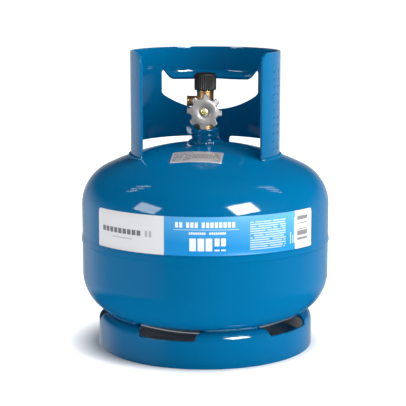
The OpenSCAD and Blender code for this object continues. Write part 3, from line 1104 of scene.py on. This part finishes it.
@dataclass
class Guard:
    """Rolled guard round the valve, with its hand hole, rolled-in grip, slots and welds."""

    middle_r: float = 73.8
    sheet: float = 2.6
    top: float = 297.5
    gap: float = 52.4
    post_corner: float = 9.0
    slot_top: float = 203.4
    slot_corner: float = 3.0
    side_foot: float = 105.0
    back_foot: float = 15.0
    hole_half: float = 43.8
    hole_side: float = 249.5
    hole_low: float = 231.0
    hole_high: float = 273.8
    grip_half: float = 42.0
    grip_bend: float = 8.0
    sunk: float = 0.4
    bead_r: float = 2.0
    bead_off: float = 0.3
    bead_past: float = 1.4
    stamp_turns: tuple[float, float] = (70.0, 79.0)
    stamp_rows: int = 11
    stamp_low: float = 203.0
    stamp_pitch: float = 7.6

    def build(self, shop: Workshop) -> None:
        """Makes the guard's sheet and its welds.

        Args:
            shop: makes and dresses the pieces.
        """
        face = (self.wall() + self.grip()).turned(GUARD_TURN)
        made = shop.piece(
            "guard_sheet", face, "cylinder", "blue_paint", ["valve_guard"], sheet=self.sheet, edge=0.7
        )
        made.modifiers["thickness"].use_even_offset = True
        shop.piece("guard_beads", self.beads(), "cylinder", "blue_paint", ["guard_welds"])
        shop.piece("guard_stamped_bars", self.stamps(), "cylinder", "blue_paint")

    def columns(self) -> np.ndarray:
        """Angles from the front of the sheet's columns, closer together at corners.

        Returns:
            The angles in degrees, in order.
        """
        marks = [self.gap, self.side_foot, 180 - self.back_foot, 180 - self.hole_half]
        marks += [360 - m for m in marks]
        reach = 8.0
        coarse = np.linspace(self.gap, 360 - self.gap, 171)
        fine = [np.linspace(m - reach, m + reach, 49) for m in marks]
        every = np.concatenate([coarse, *fine])
        inside = every[(every >= self.gap) & (every <= 360 - self.gap)]
        return np.unique(np.round(inside, 3))

    def hole_edges(self, angle: np.ndarray) -> tuple[np.ndarray, np.ndarray]:
        """Lower and upper edge of the hand hole at each angle: a wide arc below, and round corners above.

        Args:
            angle: angles from the front, in degrees.

        Returns:
            The lower and the upper heights.
        """
        turn = np.minimum(np.abs(angle - 180), self.hole_half)
        width = self.middle_r * math.sin(math.radians(self.hole_half))
        sag = self.hole_side - self.hole_low
        arc = (width**2 + sag**2) / (2 * sag)
        x = self.middle_r * np.sin(np.radians(turn))
        low = self.hole_low + arc - np.sqrt(arc**2 - x**2)
        side = np.radians(self.hole_half - turn) * self.middle_r
        low = low + corner_fall(side, 4.0) * 0.5
        high = self.hole_high - corner_fall(side, 2.6)
        return low, high

    def wall(self) -> Surface:
        """The upright sheet: rows of points between its edges, less the cells in its holes.

        Returns:
            The surface, in millimetres.
        """
        angle = self.columns()
        round_r = self.middle_r
        from_end = np.radians(np.minimum(angle - self.gap, 360 - self.gap - angle)) * round_r
        top = self.top - corner_fall(from_end, self.post_corner)
        fold = np.where(angle < 180, angle, 360 - angle)
        in_slot = (fold >= self.side_foot) & (fold <= 180 - self.back_foot)
        to_foot = np.radians(np.minimum(fold - self.side_foot, 180 - self.back_foot - fold)) * round_r
        slot = self.slot_top - corner_fall(np.clip(to_foot, 0, None), self.slot_corner)
        low, high = self.hole_edges(angle)
        foot = np.full_like(angle, float(dome_height(round_r)) - self.sunk)
        levels = [foot, slot, low, high, top]
        counts = [5, 16, 9, 9]
        rows = []
        for under, over, count in zip(levels, levels[1:], counts):
            rows.append(under + np.linspace(0, 1, count, endpoint=False)[:, None] * (over - under))
        height = np.vstack([*rows, top[None]])
        points = round_axis(round_r, np.radians(angle), height)
        solid = np.ones((height.shape[0] - 1, len(angle) - 1), bool)
        solid[: counts[0], in_slot[:-1] & in_slot[1:]] = False
        in_hole = np.abs(angle - 180) <= self.hole_half + 0.002
        first = counts[0] + counts[1]
        solid[first : first + counts[2], in_hole[:-1] & in_hole[1:]] = False
        return Surface(points.reshape(-1, 3), quads(len(height), len(angle), False, solid))

    def grip(self) -> Surface:
        """The crescent over the hole: it leaves the wall upright and curls inwards, least at its ends.

        Returns:
            The surface, in millimetres.
        """
        angle = self.columns()
        angle = angle[np.abs(angle - 180) <= self.grip_half]
        turn = np.abs(angle - 180)
        near = np.clip((self.grip_half - turn) / 8.5, 0, 1)
        blend = near * near * (3 - 2 * near)
        length = 9.8 * blend + 3.6 * np.cos(np.radians(turn / self.grip_half * 90)) ** 2
        bend = self.grip_bend + 5.0 * (turn / 38) ** 2
        along = np.linspace(1, 0, 15)[:, None] * length
        swing = np.clip(along / bend, 0, math.pi / 2)
        past = np.clip(along - bend * math.pi / 2, 0, None)
        radius = self.middle_r - bend * (1 - np.cos(swing)) - past
        height = self.hole_edges(angle)[1] - bend * np.sin(swing)
        points = round_axis(radius, np.radians(angle), height)
        return Surface(points.reshape(-1, 3), quads(len(radius), len(angle), False))

    def stamps(self) -> Surface:
        """Two columns of plain raised bars on the right post's outer face, some short and some long.

        Returns:
            The surface, in millimetres.
        """
        face = -self.middle_r - self.sheet / 2
        bars = []
        for column, angle in enumerate(self.stamp_turns):
            for row in range(self.stamp_rows):
                width = 3.4 + 1.1 * ((row * 5 + column * 3) % 4)
                z = self.stamp_low + self.stamp_pitch * row
                bar = pebble((width, 2.4, 0.9)).placed(Way.FORWARD, (0, face, z))
                bars.append(bar.turned(angle + GUARD_TURN))
        return joined(bars)

    def beads(self) -> Surface:
        """A bead outside each foot; the side ones run a little past the posts' front edges.

        Returns:
            The surface, in millimetres.
        """
        r = self.middle_r + self.sheet / 2 + self.bead_off
        z = float(dome_height(r)) + self.sunk
        side = (self.gap - self.bead_past, self.side_foot - 1)
        back = 180 - self.back_foot + 1
        spans = [side, (back, 360 - back), (-side[1], -side[0])]
        return joined(arc_bead(r, z, a + GUARD_TURN, b + GUARD_TURN, self.bead_r) for a, b in spans)


@dataclass
class Neck:
    """Threaded boss and its fillet weld."""

    radius: float = 14.0
    top: float = 220.0
    depth: float = 6.5
    bead_r: float = 2.7

    def build(self, shop: Workshop) -> None:
        """Makes the boss and the weld.

        Args:
            shop: makes and dresses the pieces.
        """
        low = TOP_Z - self.depth
        r = self.radius
        boss = turned([
            (12.3, low, 0.3), (12.3, TOP_Z - 0.8, 0), (r, TOP_Z - 0.6, 0.2),
            (r, 208.9, 0.5), (r - 0.8, 209.6, 0.5), (r, 210.3, 0.5),
            (r, 213.6, 0.6), (r - 0.9, 214.5, 0.6), (r - 0.1, 215.4, 0.6),
            (r - 0.1, self.top, 1.3), (9.7, self.top, 0.3), (9.1, low, 0.3),
        ], 128, closed=True)
        shop.piece("neck_boss_turned", boss, "cylinder", "blue_paint", ["neck_boss"])
        shop.piece("neck_bead", self.bead(), "cylinder", "blue_paint", ["neck_weld"])

    def bead(self) -> Surface:
        """A full ring of weld round the boss's foot, with overlapping waves.

        Returns:
            The surface, in millimetres.
        """
        steps = 240
        t = np.linspace(0, 2 * math.pi, steps)[:, None]
        r = self.radius + 0.5
        path = np.column_stack([r * np.cos(t), r * np.sin(t), np.full(steps, TOP_Z + 0.1)])
        side = np.linspace(0, 2 * math.pi, BEAD_SIDES, endpoint=False)[None, :]
        swell = self.bead_r * (1 + 0.05 * np.sin(36 * t + 1.2 * np.sin(side)))
        ring = tube(path, swell, BEAD_SIDES)
        ring.points[-BEAD_SIDES:] = ring.points[:BEAD_SIDES]
        return ring


# ---------------------------------------------------------------- label and plate


@dataclass
class Label:
    """Printed label wrapped round the front, with round corners."""

    left: float = -53.5
    right: float = 56.4
    low: float = 114.5
    high: float = 151.2
    split: float = -16.4
    code_split: float = 44.7
    lift: float = 0.16
    back_lift: float = 0.02
    corner: float = 2.4
    joint_out: float = 0.62
    joint_top: float = 118.2
    joint_reach: float = 3.7

    def build(self, shop: Workshop) -> None:
        """Makes the label as a thin shell over the steel and the girth joint.

        Args:
            shop: makes and dresses the pieces.
        """
        columns, rows = 220, 30
        near = np.linspace(0, self.corner, 9)
        u = np.sort(np.concatenate([np.linspace(0, 1, columns) * self.length, near, self.length - near]))
        inset = corner_fall(np.minimum(u, self.length - u), self.corner)
        t = np.linspace(0, 1, rows)[:, None]
        v = inset + t * (self.height - 2 * inset)
        uv = np.stack([np.broadcast_to(u, v.shape), v], -1)
        face = self.place(uv, self.lift)
        back = self.place(uv, self.back_lift)
        grid = quads(len(v), len(u), ring=False)
        count = len(v) * len(u)
        rim = np.concatenate([
            np.arange(len(u)), np.arange(2, len(v)) * len(u) - 1,
            np.arange(count - 1, count - len(u) - 1, -1), np.arange(len(v) - 2, 0, -1) * len(u),
        ])
        ahead = np.roll(rim, -1)
        skirt = np.column_stack([rim, rim + count, ahead + count, ahead])
        faces = np.vstack([grid, grid[:, ::-1] + count, skirt])
        surface = Surface(np.vstack([face, back]), faces)
        flat = np.vstack([uv.reshape(-1, 2)] * 2)
        shop.piece("label_face", surface, "cylinder", "label_print", ["wrap_label"], uv=flat)

    @property
    def length(self) -> float:
        """Length round the vessel, in millimetres."""
        return math.radians(self.right - self.left) * VESSEL_R

    @property
    def height(self) -> float:
        """Height, in millimetres."""
        return self.high - self.low

    def place(self, uv: np.ndarray, lift: float) -> np.ndarray:
        """Points over the vessel's side, its knuckle and the girth joint's upper flank.

        Args:
            uv: millimetres along the label and up it.
            lift: how far off the steel the points lie.

        Returns:
            Rows of x, y and z.
        """
        angle = math.radians(self.left) + uv[..., 0] / VESSEL_R
        z = self.low + uv[..., 1]
        over = np.clip(z - HIGH_Z, 0, None)
        radius = VESSEL_R - KNUCKLE_R + np.sqrt(KNUCKLE_R**2 - over**2)
        flank = self.joint_out * np.clip((self.joint_top - z) / self.joint_reach, 0, 1) ** 1.5
        radius = radius + flank + lift
        return round_axis(radius, angle, z).reshape(-1, 3)

    def at(self, angle: float) -> float:
        """Millimetres along the label at an angle from the front."""
        return math.radians(angle - self.left) * VESSEL_R

    def print(self) -> Print:
        """The label's printing."""
        return Print(self.length, self.height, self.at(self.split), self.at(self.code_split))


@dataclass
class Plate:
    """Stamped plate that follows the dome in front of the boss."""

    width: float = 50.0
    depth: float = 25.0
    x: float = -6.5
    y: float = -56.5
    turn: float = -4.5
    thick: float = 0.5
    corner: float = 1.5

    def build(self, shop: Workshop) -> None:
        """Makes the plate as a block of rings: its foot, its rounded rim and its face.

        Args:
            shop: makes and dresses the pieces.
        """
        w, d = self.width / 2, self.depth / 2
        corners = [(x, y, self.corner) for x, y in ((-w, -d), (w, -d), (w, d), (-w, d))]
        loop = self.finer(rounded(corners, closed=True, steps=5))
        scale = np.concatenate([[1.0, 1.0, 0.996, 0.99], np.linspace(0.98, 0.0, 14)])
        lift = np.concatenate([[-0.6, self.thick * 0.6, self.thick * 0.93], np.full(15, self.thick)])
        flat = loop[None] * scale[:, None, None]
        level = flat @ spin(math.radians(self.turn)) + (self.x, self.y)
        z = dome_height(np.linalg.norm(level, axis=-1)) + lift[:, None]
        surface = loft(np.concatenate([level, z[..., None]], -1))
        uv = flat.reshape(-1, 2) + (w, d)
        shop.piece("data_plate_face", surface, "cylinder", "stamped_plate", ["data_plate"], uv=uv)

    def finer(self, loop: np.ndarray) -> np.ndarray:
        """The loop with points about every millimetre.

        Args:
            loop: the outline's points.

        Returns:
            The outline with more points.
        """
        ahead = np.roll(loop, -1, axis=0)
        out = []
        for a, b in zip(loop, ahead):
            count = max(1, int(np.linalg.norm(b - a)))
            out.append(a + np.linspace(0, 1, count, endpoint=False)[:, None] * (b - a))
        return np.vstack(out)


# ---------------------------------------------------------------- the valve


@dataclass
class Valve:
    """Brass body, its outlet thread, gland nut and small fixed pieces."""

    barrel_r: float = 8.5
    barrel_top: float = 258.0
    outlet_r: float = 7.9
    crest_r: float = 8.33
    outlet_top: float = 271.5
    pitch: float = 25.4 / 19

    def build(self, shop: Workshop) -> None:
        """Dresses the body and what it holds, and makes the collars, the thread, the nut and the spring.

        Args:
            shop: makes and dresses the pieces.
        """
        for node in ("valve_body", "relief_plug", "dip_tube", "relief_poppet", "valve_plug", "bleed_screw"):
            shop.dress(node, "valve_brass")
        for node in ("gland_packing", "relief_seal", "seat_disc", "bleed_seal", "cap_gasket"):
            shop.dress(node, "seal_rubber")
        shop.piece("valve_collars", self.collars(), "cylinder", "valve_brass")
        shop.piece("outlet_thread", self.thread(), "cylinder", "valve_brass")
        shop.piece("gland_nut_turned", self.nut(), "cylinder", "valve_brass", ["gland_nut"])
        coil = shop.piece("relief_coil", self.spring(), "cylinder", "spring_steel", ["relief_spring"])
        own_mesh(coil)

    def collars(self) -> Surface:
        """Machined collars: closed rings with round edges, each turned on its own axis of the body.

        Returns:
            The surface, in millimetres.
        """
        r = self.barrel_r
        barrel = turned([
            (r - 0.6, 220.4, 0), (r + 0.9, 220.4, 0.5), (r + 0.9, 222.2, 0.5), (r + 0.1, 222.9, 0.3),
            (r - 0.6, 222.9, 0),
        ], closed=True)
        shoulder = turned([
            (r - 0.8, 256.2, 0), (r + 0.25, 256.2, 0.25), (r + 0.25, 257.4, 0.4), (r - 0.3, 258.15, 0.2),
            (r - 0.8, 258.15, 0),
        ], closed=True)
        housing = turned([
            (7.4, 13.4, 0), (8.5, 13.4, 0.35), (8.5, 15.2, 0.35), (7.4, 15.2, 0),
        ], closed=True).placed(Way.FORWARD, (0, 0, SPINDLE_Z))
        mouth = turned([
            (4.6, 16.9, 0), (5.5, 16.9, 0.3), (5.5, 18.2, 0.35), (4.6, 18.5, 0.2),
        ], closed=True).placed(Way.LEFT, (0, 0, RELIEF_Z))
        return barrel + shoulder + housing + mouth

    def spring(self) -> Surface:
        """The relief spring: a round wire along a helix between the poppet and its plug.

        Returns:
            The surface, in millimetres.
        """
        low, high, radius, wire, coils = 10.8, 14.8, 2.55, 0.3, 4.5
        t = np.linspace(0, 1, 160)
        angle = 2 * math.pi * coils * t
        height = low + wire + (high - low - 2 * wire) * t
        path = np.column_stack([radius * np.cos(angle), radius * np.sin(angle), height])
        end = np.sqrt(np.clip(np.minimum(t, 1 - t) * 60, 0, 1))
        return tube(path, wire * end[:, None], 10).placed(Way.LEFT, (0, 0, RELIEF_Z))

    def thread(self) -> Surface:
        """A left-handed ridge on the outlet: a small triangle carried up a helix, fading at both ends.

        Returns:
            The surface, in millimetres.
        """
        low, high = self.barrel_top + 1.6, self.outlet_top - 0.9
        foot = self.outlet_r - 0.15
        turns = (high - low) / self.pitch
        steps = int(turns * 64)
        t = np.linspace(0, 1, steps)
        angle = -2 * math.pi * turns * t
        fade = np.clip(np.minimum(t, 1 - t) * turns * 2.5, 0, 1)
        depth = (self.crest_r - foot) * fade
        ridge = np.array([(-0.46, 0.0), (-0.06, 1.0), (0.06, 1.0), (0.46, 0.0)])
        radius = foot + ridge[None, :, 1] * depth[:, None]
        height = low + (high - low) * t[:, None] + ridge[None, :, 0] * self.pitch
        a = angle[:, None]
        body = loft(np.stack([radius * np.cos(a), radius * np.sin(a), height], -1))
        last = 4 * (steps - 1)
        ends = np.array([[0, 1, 2, 3], [last + 3, last + 2, last + 1, last]])
        return Surface(body.points, np.vstack([body.faces, ends]))

    def nut(self) -> Surface:
        """A six-sided nut with chamfered corners: its radius is the larger of the flat and a cone.

        Returns:
            The surface, in millimetres.
        """
        flat, point, bore, low, high = 7.0, 8.08, 2.62, 19.0, 23.0
        outline = rounded([
            (bore, low, 0), (7.4, low, 0.2), (point, low + 0.3, 0), (point, high - 0.9, 0),
            (6.6, high, 0.2), (bore, high, 0.2),
        ], closed=True)
        base = np.vstack([outline, outline[:1]])[:, :1]

        def facet(ring: np.ndarray, angle: np.ndarray) -> np.ndarray:
            """Cuts each ring back to the nut's flats where it stands past them."""
            turn = (angle + math.pi / 6) % (math.pi / 3) - math.pi / 6
            return np.minimum(0, flat / np.cos(turn) - base[ring[:, 0]])

        return lathe(outline, 192, closed=True, flute=facet).placed(Way.FORWARD, (0, 0, SPINDLE_Z))


@dataclass
class Handwheel:
    """Die-cast handwheel with its screw and washer."""

    outer: float = 17.3
    root: float = 13.2
    notch: float = 3.7
    lobes: int = 8
    first: float = -4.6
    back: float = 24.5
    front: float = 33.0
    seat: float = 30.4
    recess: float = 5.2
    bore: float = 2.6
    soften: float = 0.03

    def build(self, shop: Workshop) -> None:
        """Makes the wheel and its screw, and dresses the washer and the spindle.

        Args:
            shop: makes and dresses the pieces.
        """
        wheel = self.wheel() + self.marks()
        placed = wheel.placed(Way.FORWARD, (0, 0, SPINDLE_Z))
        shop.piece("handwheel_casting", placed, "handwheel", "zinc_casting", ["handwheel"], sharp=44)
        screw = self.screw()
        shop.piece("handwheel_pan_screw", screw, "handwheel", "yellow_passivation", ["handwheel_screw"])
        shop.dress("handwheel_washer", "zinc_plating")
        shop.dress("spindle", "valve_brass")

    def outline(self) -> tuple[np.ndarray, np.ndarray]:
        """The lobed edge and its outward directions: an outer arc and a round notch, repeated.

        Returns:
            The loop's points and their directions.
        """
        pitch = 2 * math.pi / self.lobes
        centre = self.root + self.notch
        meet = math.acos((self.outer**2 + centre**2 - self.notch**2) / (2 * self.outer * centre))
        half = pitch / 2 - meet - self.soften
        edge = np.linspace(-half, half, 9)
        lobe = self.outer * np.column_stack([np.cos(edge), np.sin(edge)])
        away = math.acos((centre - self.outer * math.cos(meet)) / self.notch)
        swing = np.linspace(0.1 - away, away - 0.1, 19)
        hollow = np.column_stack([centre - self.notch * np.cos(swing), self.notch * np.sin(swing)])
        unit = np.vstack([lobe, hollow @ spin(pitch / 2)])
        turns = [math.radians(self.first) + i * pitch for i in range(self.lobes)]
        loop = np.vstack([unit @ spin(turn) for turn in turns])
        tangent = np.roll(loop, -1, axis=0) - np.roll(loop, 1, axis=0)
        tangent /= np.linalg.norm(tangent, axis=1, keepdims=True)
        return loop, np.column_stack([tangent[:, 1], -tangent[:, 0]])

    def wheel(self) -> Surface:
        """Rings from the back's hub, over the lobed edge, to the recess for the screw.

        Each ring is either the lobed edge moved inwards or a circle, at a depth.

        Returns:
            The surface, in millimetres.
        """
        loop, outward = self.outline()
        turn = np.arctan2(loop[:, 1], loop[:, 0])
        circle = np.column_stack([np.cos(turn), np.sin(turn)])

        def lobed(inset: float, depth: float) -> np.ndarray:
            """The lobed edge moved inwards."""
            return np.column_stack([loop - outward * inset, np.full(len(loop), depth)])

        def round_ring(radius: float, depth: float) -> np.ndarray:
            """A circle."""
            return np.column_stack([circle * radius, np.full(len(loop), depth)])

        low, high = self.back + 1.5, self.front - 0.5
        rings = [
            round_ring(self.bore, self.back), round_ring(6.6, self.back), round_ring(7.0, self.back + 0.4),
            round_ring(7.3, low - 0.2), round_ring(8.0, low), round_ring(11.6, low),
            lobed(0.9, low), lobed(0.3, low + 0.16), lobed(0.05, low + 0.6), lobed(0.0, (low + high) / 2),
            lobed(0.05, high - 0.7), lobed(0.3, high - 0.2), lobed(0.9, high),
            round_ring(12.4, high), round_ring(12.1, high + 0.12), round_ring(11.8, self.front - 0.1),
            round_ring(11.3, self.front), round_ring(self.recess + 0.5, self.front),
            round_ring(self.recess, self.front - 0.35), round_ring(self.recess - 0.1, self.seat),
            round_ring(self.bore, self.seat), round_ring(self.bore, self.back),
        ]
        return loft(np.stack(rings))

    def marks(self) -> Surface:
        """Two fans of plain raised bars on the face."""
        bar = pebble((2.6, 0.9, 0.8)).placed(Way.UP, (8.4, 0, self.front + 0.05))
        return joined(bar.turned(middle + 13.0 * i) for middle in (48.0, 222.0) for i in range(-2, 3))

    def screw(self) -> Surface:
        """A pan head on a shank, with a cross sunk in it by lowering the rings near two lines.

        Returns:
            The surface, in millimetres.
        """
        head, shank, steps = 3.3, 1.5, 96
        angle = np.linspace(0, 2 * math.pi, steps, endpoint=False)
        r, a = np.meshgrid(np.linspace(POLE, head, 26), angle, indexing="ij")
        x, y = r * np.cos(a), r * np.sin(a)
        crown = self.front + 0.1 - 0.55 * (r / head) ** 4
        lean = math.radians(38)
        p, q = x * math.cos(lean) + y * math.sin(lean), y * math.cos(lean) - x * math.sin(lean)
        arm = np.minimum(np.abs(p), np.abs(q))
        reach = np.clip((2.2 - r) / 0.35, 0, 1)
        sunk = 1.1 * np.clip((0.52 - arm) / 0.22, 0, 1) * reach
        face = np.stack([x, y, crown - sunk], -1)[::-1]
        under, tip = self.seat + 0.6, self.seat - 5
        side = [
            (POLE, tip), (shank, tip), (shank, under), (head - 0.15, under), (head, under + 0.15),
            (head, self.front - 0.6),
        ]
        rim = [np.column_stack([r * np.cos(angle), r * np.sin(angle), np.full(steps, z)]) for r, z in side]
        return loft(np.concatenate([np.stack(rim), face])).placed(Way.FORWARD, (0, 0, SPINDLE_Z))


@dataclass
class OutletCap:
    """Black cap with fine upright ribs."""

    radius: float = 11.0
    low: float = 258.3
    top: float = 275.2
    bore: float = 8.41
    roof: float = 272.9
    ribs: int = 34
    rib_depth: float = 0.55

    def build(self, shop: Workshop) -> None:
        """Makes the cap.

        Args:
            shop: makes and dresses the pieces.
        """
        outline = rounded([
            (POLE, self.roof, 0), (self.bore, self.roof, 0.4), (self.bore, self.low, 0.3),
            (self.radius - 0.1, self.low, 0.5), (self.radius, self.low + 1.6, 0.3),
            (self.radius, self.top - 2.2, 0.6), (self.radius - 0.5, self.top - 0.9, 0.6),
            (self.radius - 1.5, self.top, 0.9), (self.radius - 3.2, self.top, 0.3),
            (self.radius - 3.6, self.top - 0.35, 0.3), (POLE, self.top - 0.35, 0),
        ])
        radius, height = outline.T
        depth = self.rib_depth * np.clip((height - self.low - 1.2) / 0.6, 0, 1)
        depth = depth * np.clip((self.top - 1.5 - height) / 0.8, 0, 1) * (radius > self.radius - 0.8)

        def rib(ring: np.ndarray, angle: np.ndarray) -> np.ndarray:
            """Round hollows between the ribs."""
            wave = (0.5 + 0.5 * np.cos(angle * self.ribs)) ** 1.4
            return -depth[ring[:, 0]][:, None] * wave

        shape = lathe(outline, self.ribs * 12, flute=rib)
        shop.piece("outlet_cap_moulding", shape, "outlet_cap", "black_plastic", ["outlet_cap"])


# ---------------------------------------------------------------- studio


class Reach(Enum):
    """Which rays a light serves: only shading or only reflections."""

    SHADE = "shade"
    SHINE = "shine"


@dataclass(frozen=True)
class Softbox:
    """One soft light: where it stands, its width and height in metres, what it gives and where it faces."""

    name: str
    place: tuple[float, float, float]
    size: tuple[float, float]
    radiance: float
    reach: Reach
    lean: float = 0.0
    tint: Colour = (1.0, 1.0, 1.0)
    aim: tuple[float, float, float] = (0, 0, 0.15)

    def build(self) -> None:
        """Makes the light, which no camera sees."""
        data = bpy.data.lights.new(self.name, "AREA")
        data.shape = "RECTANGLE"
        data.size, data.size_y = self.size
        data.energy = self.radiance * math.pi * self.size[0] * self.size[1]
        data.color = self.tint
        made = bpy.data.objects.new(self.name, data)
        made.location = self.place
        turn = (Vector(self.aim) - Vector(self.place)).to_track_quat("-Z", "Y")
        made.rotation_euler = (turn @ Quaternion((0, 0, 1), math.radians(self.lean))).to_euler()
        made.visible_camera = False
        made.visible_diffuse = self.reach is Reach.SHADE
        made.visible_glossy = self.reach is Reach.SHINE
        bpy.context.scene.collection.objects.link(made)


@dataclass
class Studio:
    """Pale floor that glows as painted light, soft lights and the camera."""

    distance: float = 1.3613
    height: float = 0.3791
    azimuth: float = 1.7
    dip: float = 9.84
    side: float = -0.0023
    lens: float = 120.4
    # The floor's glow is painted light: its strength, the radius from the axis where it starts, and how far
    # it ramps, in metres.
    floor_glow: float = 0.74
    glow_from: float = 0.112
    glow_over: float = 0.03
    floor_half: float = 30.0
    floor_drop: float = 0.00005

    def build(self) -> None:
        """Sets up the whole studio."""
        self.camera()
        self.floor()
        self.world()
        shade, shine = Reach.SHADE, Reach.SHINE
        lights = [
            Softbox("key", (1.45, -0.55, 0.7), (0.9, 0.9), 8.6, shade),
            Softbox("fill", (-1.1, -0.95, 0.6), (0.8, 0.8), 0.8, shade, tint=(0.9, 0.95, 1.0)),
            Softbox("overhead", (0.5, -0.15, 1.7), (1.1, 0.8), 6.0, shade),
            Softbox("window_right", (0.72, -0.95, 0.675), (0.52, 0.52), 62, shine, lean=14),
            Softbox("window_left", (-0.97, -0.75, 0.586), (0.52, 0.4), 17, shine, lean=-16),
        ]
        for light in lights + self.strips():
            light.build()

    def strips(self) -> list[Softbox]:
        """Two rows of narrow lights high at the sides, seen only as small slanted reflections.

        Returns:
            The lights.
        """
        made = []
        for name, side in (("left", -1), ("right", 1)):
            for i in range(3):
                place = (side * (0.62 + 0.13 * i), 0.12 - 0.05 * i, 1.05 - 0.03 * i)
                strip = Softbox(f"strip_{name}_{i}", place, (0.035, 0.2), 12, Reach.SHINE, lean=side * 20)
                made.append(strip)
        return made

    def camera(self) -> None:
        """A long lens from a little above."""
        data = bpy.data.cameras.new("camera")
        data.lens = self.lens
        data.sensor_width = 36
        data.clip_end = 100
        made = bpy.data.objects.new("camera", data)
        a = math.radians(self.azimuth)
        back = np.array([math.sin(a), -math.cos(a), 0]) * self.distance
        right = np.array([math.cos(a), math.sin(a), 0]) * self.side
        made.location = tuple(back + right + (0, 0, self.height))
        made.rotation_euler = (math.radians(90 - self.dip), 0, a)
        bpy.context.scene.collection.objects.link(made)
        bpy.context.scene.camera = made

    def floor(self) -> None:
        """A wide level floor, made as a grid, that is nearly white and glows: painted light that lifts the
        cast shadows round the cylinder. Near the axis the glow fades out, so the floor under the foot ring
        stays darker: painted shade.
        """
        side = np.linspace(-self.floor_half, self.floor_half, 9)
        x, y = np.meshgrid(side, side, indexing="xy")
        points = np.stack([x, y, np.full_like(x, -self.floor_drop)], -1).reshape(-1, 3)
        mesh = bpy.data.meshes.new("floor")
        mesh.from_pydata(points.tolist(), [], quads(len(side), len(side), ring=False).tolist())
        s = Shader("floor_paper")
        paper = s.mix(s.noise(3), (0.9, 0.9, 0.905), (0.92, 0.92, 0.925))
        s.set(Base_Color=paper, Roughness=0.8, Specular_IOR_Level=0.1)
        x, y, _ = s.parts(s.place())
        away = (x * x + y * y).math("SQRT")
        # Painted light: the floor glows from glow_from outwards and lifts the cast shadows. The unglowing
        # disc under the foot ring is painted shade.
        painted_glow_mask = away.ramp(self.glow_from, self.glow_from + self.glow_over)
        painted_glow_colour = s.mix(painted_glow_mask, (0.0, 0.0, 0.0), (1.0, 1.0, 1.0))
        s.set(Emission_Color=painted_glow_colour, Emission_Strength=self.floor_glow)
        mesh.materials.append(s.material)
        made = bpy.data.objects.new("floor", mesh)
        made.visible_glossy = False
        bpy.context.scene.collection.objects.link(made)

    def world(self) -> None:
        """White to the eye and dim for shading. Reflections are pale low down, save in front."""
        world = bpy.data.worlds.new("studio")
        bpy.context.scene.world = world
        world.use_nodes = True
        s = Shader.of_tree(world.node_tree)
        path = "ShaderNodeLightPath"
        x, y, z = s.parts(s.node("ShaderNodeTexCoord", output="Generated"))
        band = z.ramp(0.25, -0.05) * z.ramp(-0.45, -0.35)
        sides = x.ramp(-0.5, -0.8) * 0.55 + x.ramp(0.75, 0.95) * 0.2 + y.ramp(0.1, 0.7) * 0.6
        mirrored = s.mix((sides * band).clamped(), (0.03, 0.035, 0.04), (0.95, 0.97, 1.0))
        colour = s.mix(s.node(path, output="Is Glossy Ray"), (0.42, 0.43, 0.45), mirrored)
        colour = s.mix(s.node(path, output="Is Camera Ray"), colour, (1.0, 1.0, 1.0))
        light = s.node("ShaderNodeBackground", inputs={"Color": colour, "Strength": 1.0})
        end = world.node_tree.nodes.new("ShaderNodeOutputWorld")
        s.feed(end.inputs["Surface"], light)


LABEL = Label()
PLATE = Plate()
FINISHES = {
    "blue_paint": Paint(),
    "label_print": LABEL.print(),
    "stamped_plate": Stamped(PLATE.width, PLATE.depth),
    "valve_brass": Metal("valve_brass", (0.56, 0.33, 0.13), (0.24, 0.12, 0.05), 0.22),
    "zinc_casting": Metal("zinc_casting", (0.24, 0.235, 0.23), (0.1, 0.095, 0.09), 0.42, 900, 0.00016, 0.5),
    "zinc_plating": Metal("zinc_plating", (0.55, 0.56, 0.58), (0.4, 0.4, 0.42), 0.3),
    "yellow_passivation": Metal("yellow_passivation", (0.62, 0.55, 0.27), (0.4, 0.33, 0.14), 0.28),
    "black_plastic": Moulded("black_plastic", (0.002, 0.002, 0.0023), 0.42),
    "seal_rubber": Moulded("seal_rubber", (0.01, 0.01, 0.01), 0.7),
    "spring_steel": Metal("spring_steel", (0.5, 0.5, 0.52), (0.3, 0.3, 0.32), 0.3),
}


def main() -> None:
    """Builds the cylinder's looks round its frame."""
    logging.basicConfig(level=logging.INFO, format="%(message)s")
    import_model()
    shop = Workshop()
    Studio().build()
    for assembly in (Vessel(), FootRing(), Guard(), Neck(), LABEL, PLATE, Valve(), Handwheel(), OutletCap()):
        assembly.build(shop)
    bpy.context.scene.view_settings.view_transform = "Standard"


if __name__ == "__main__":
    main()
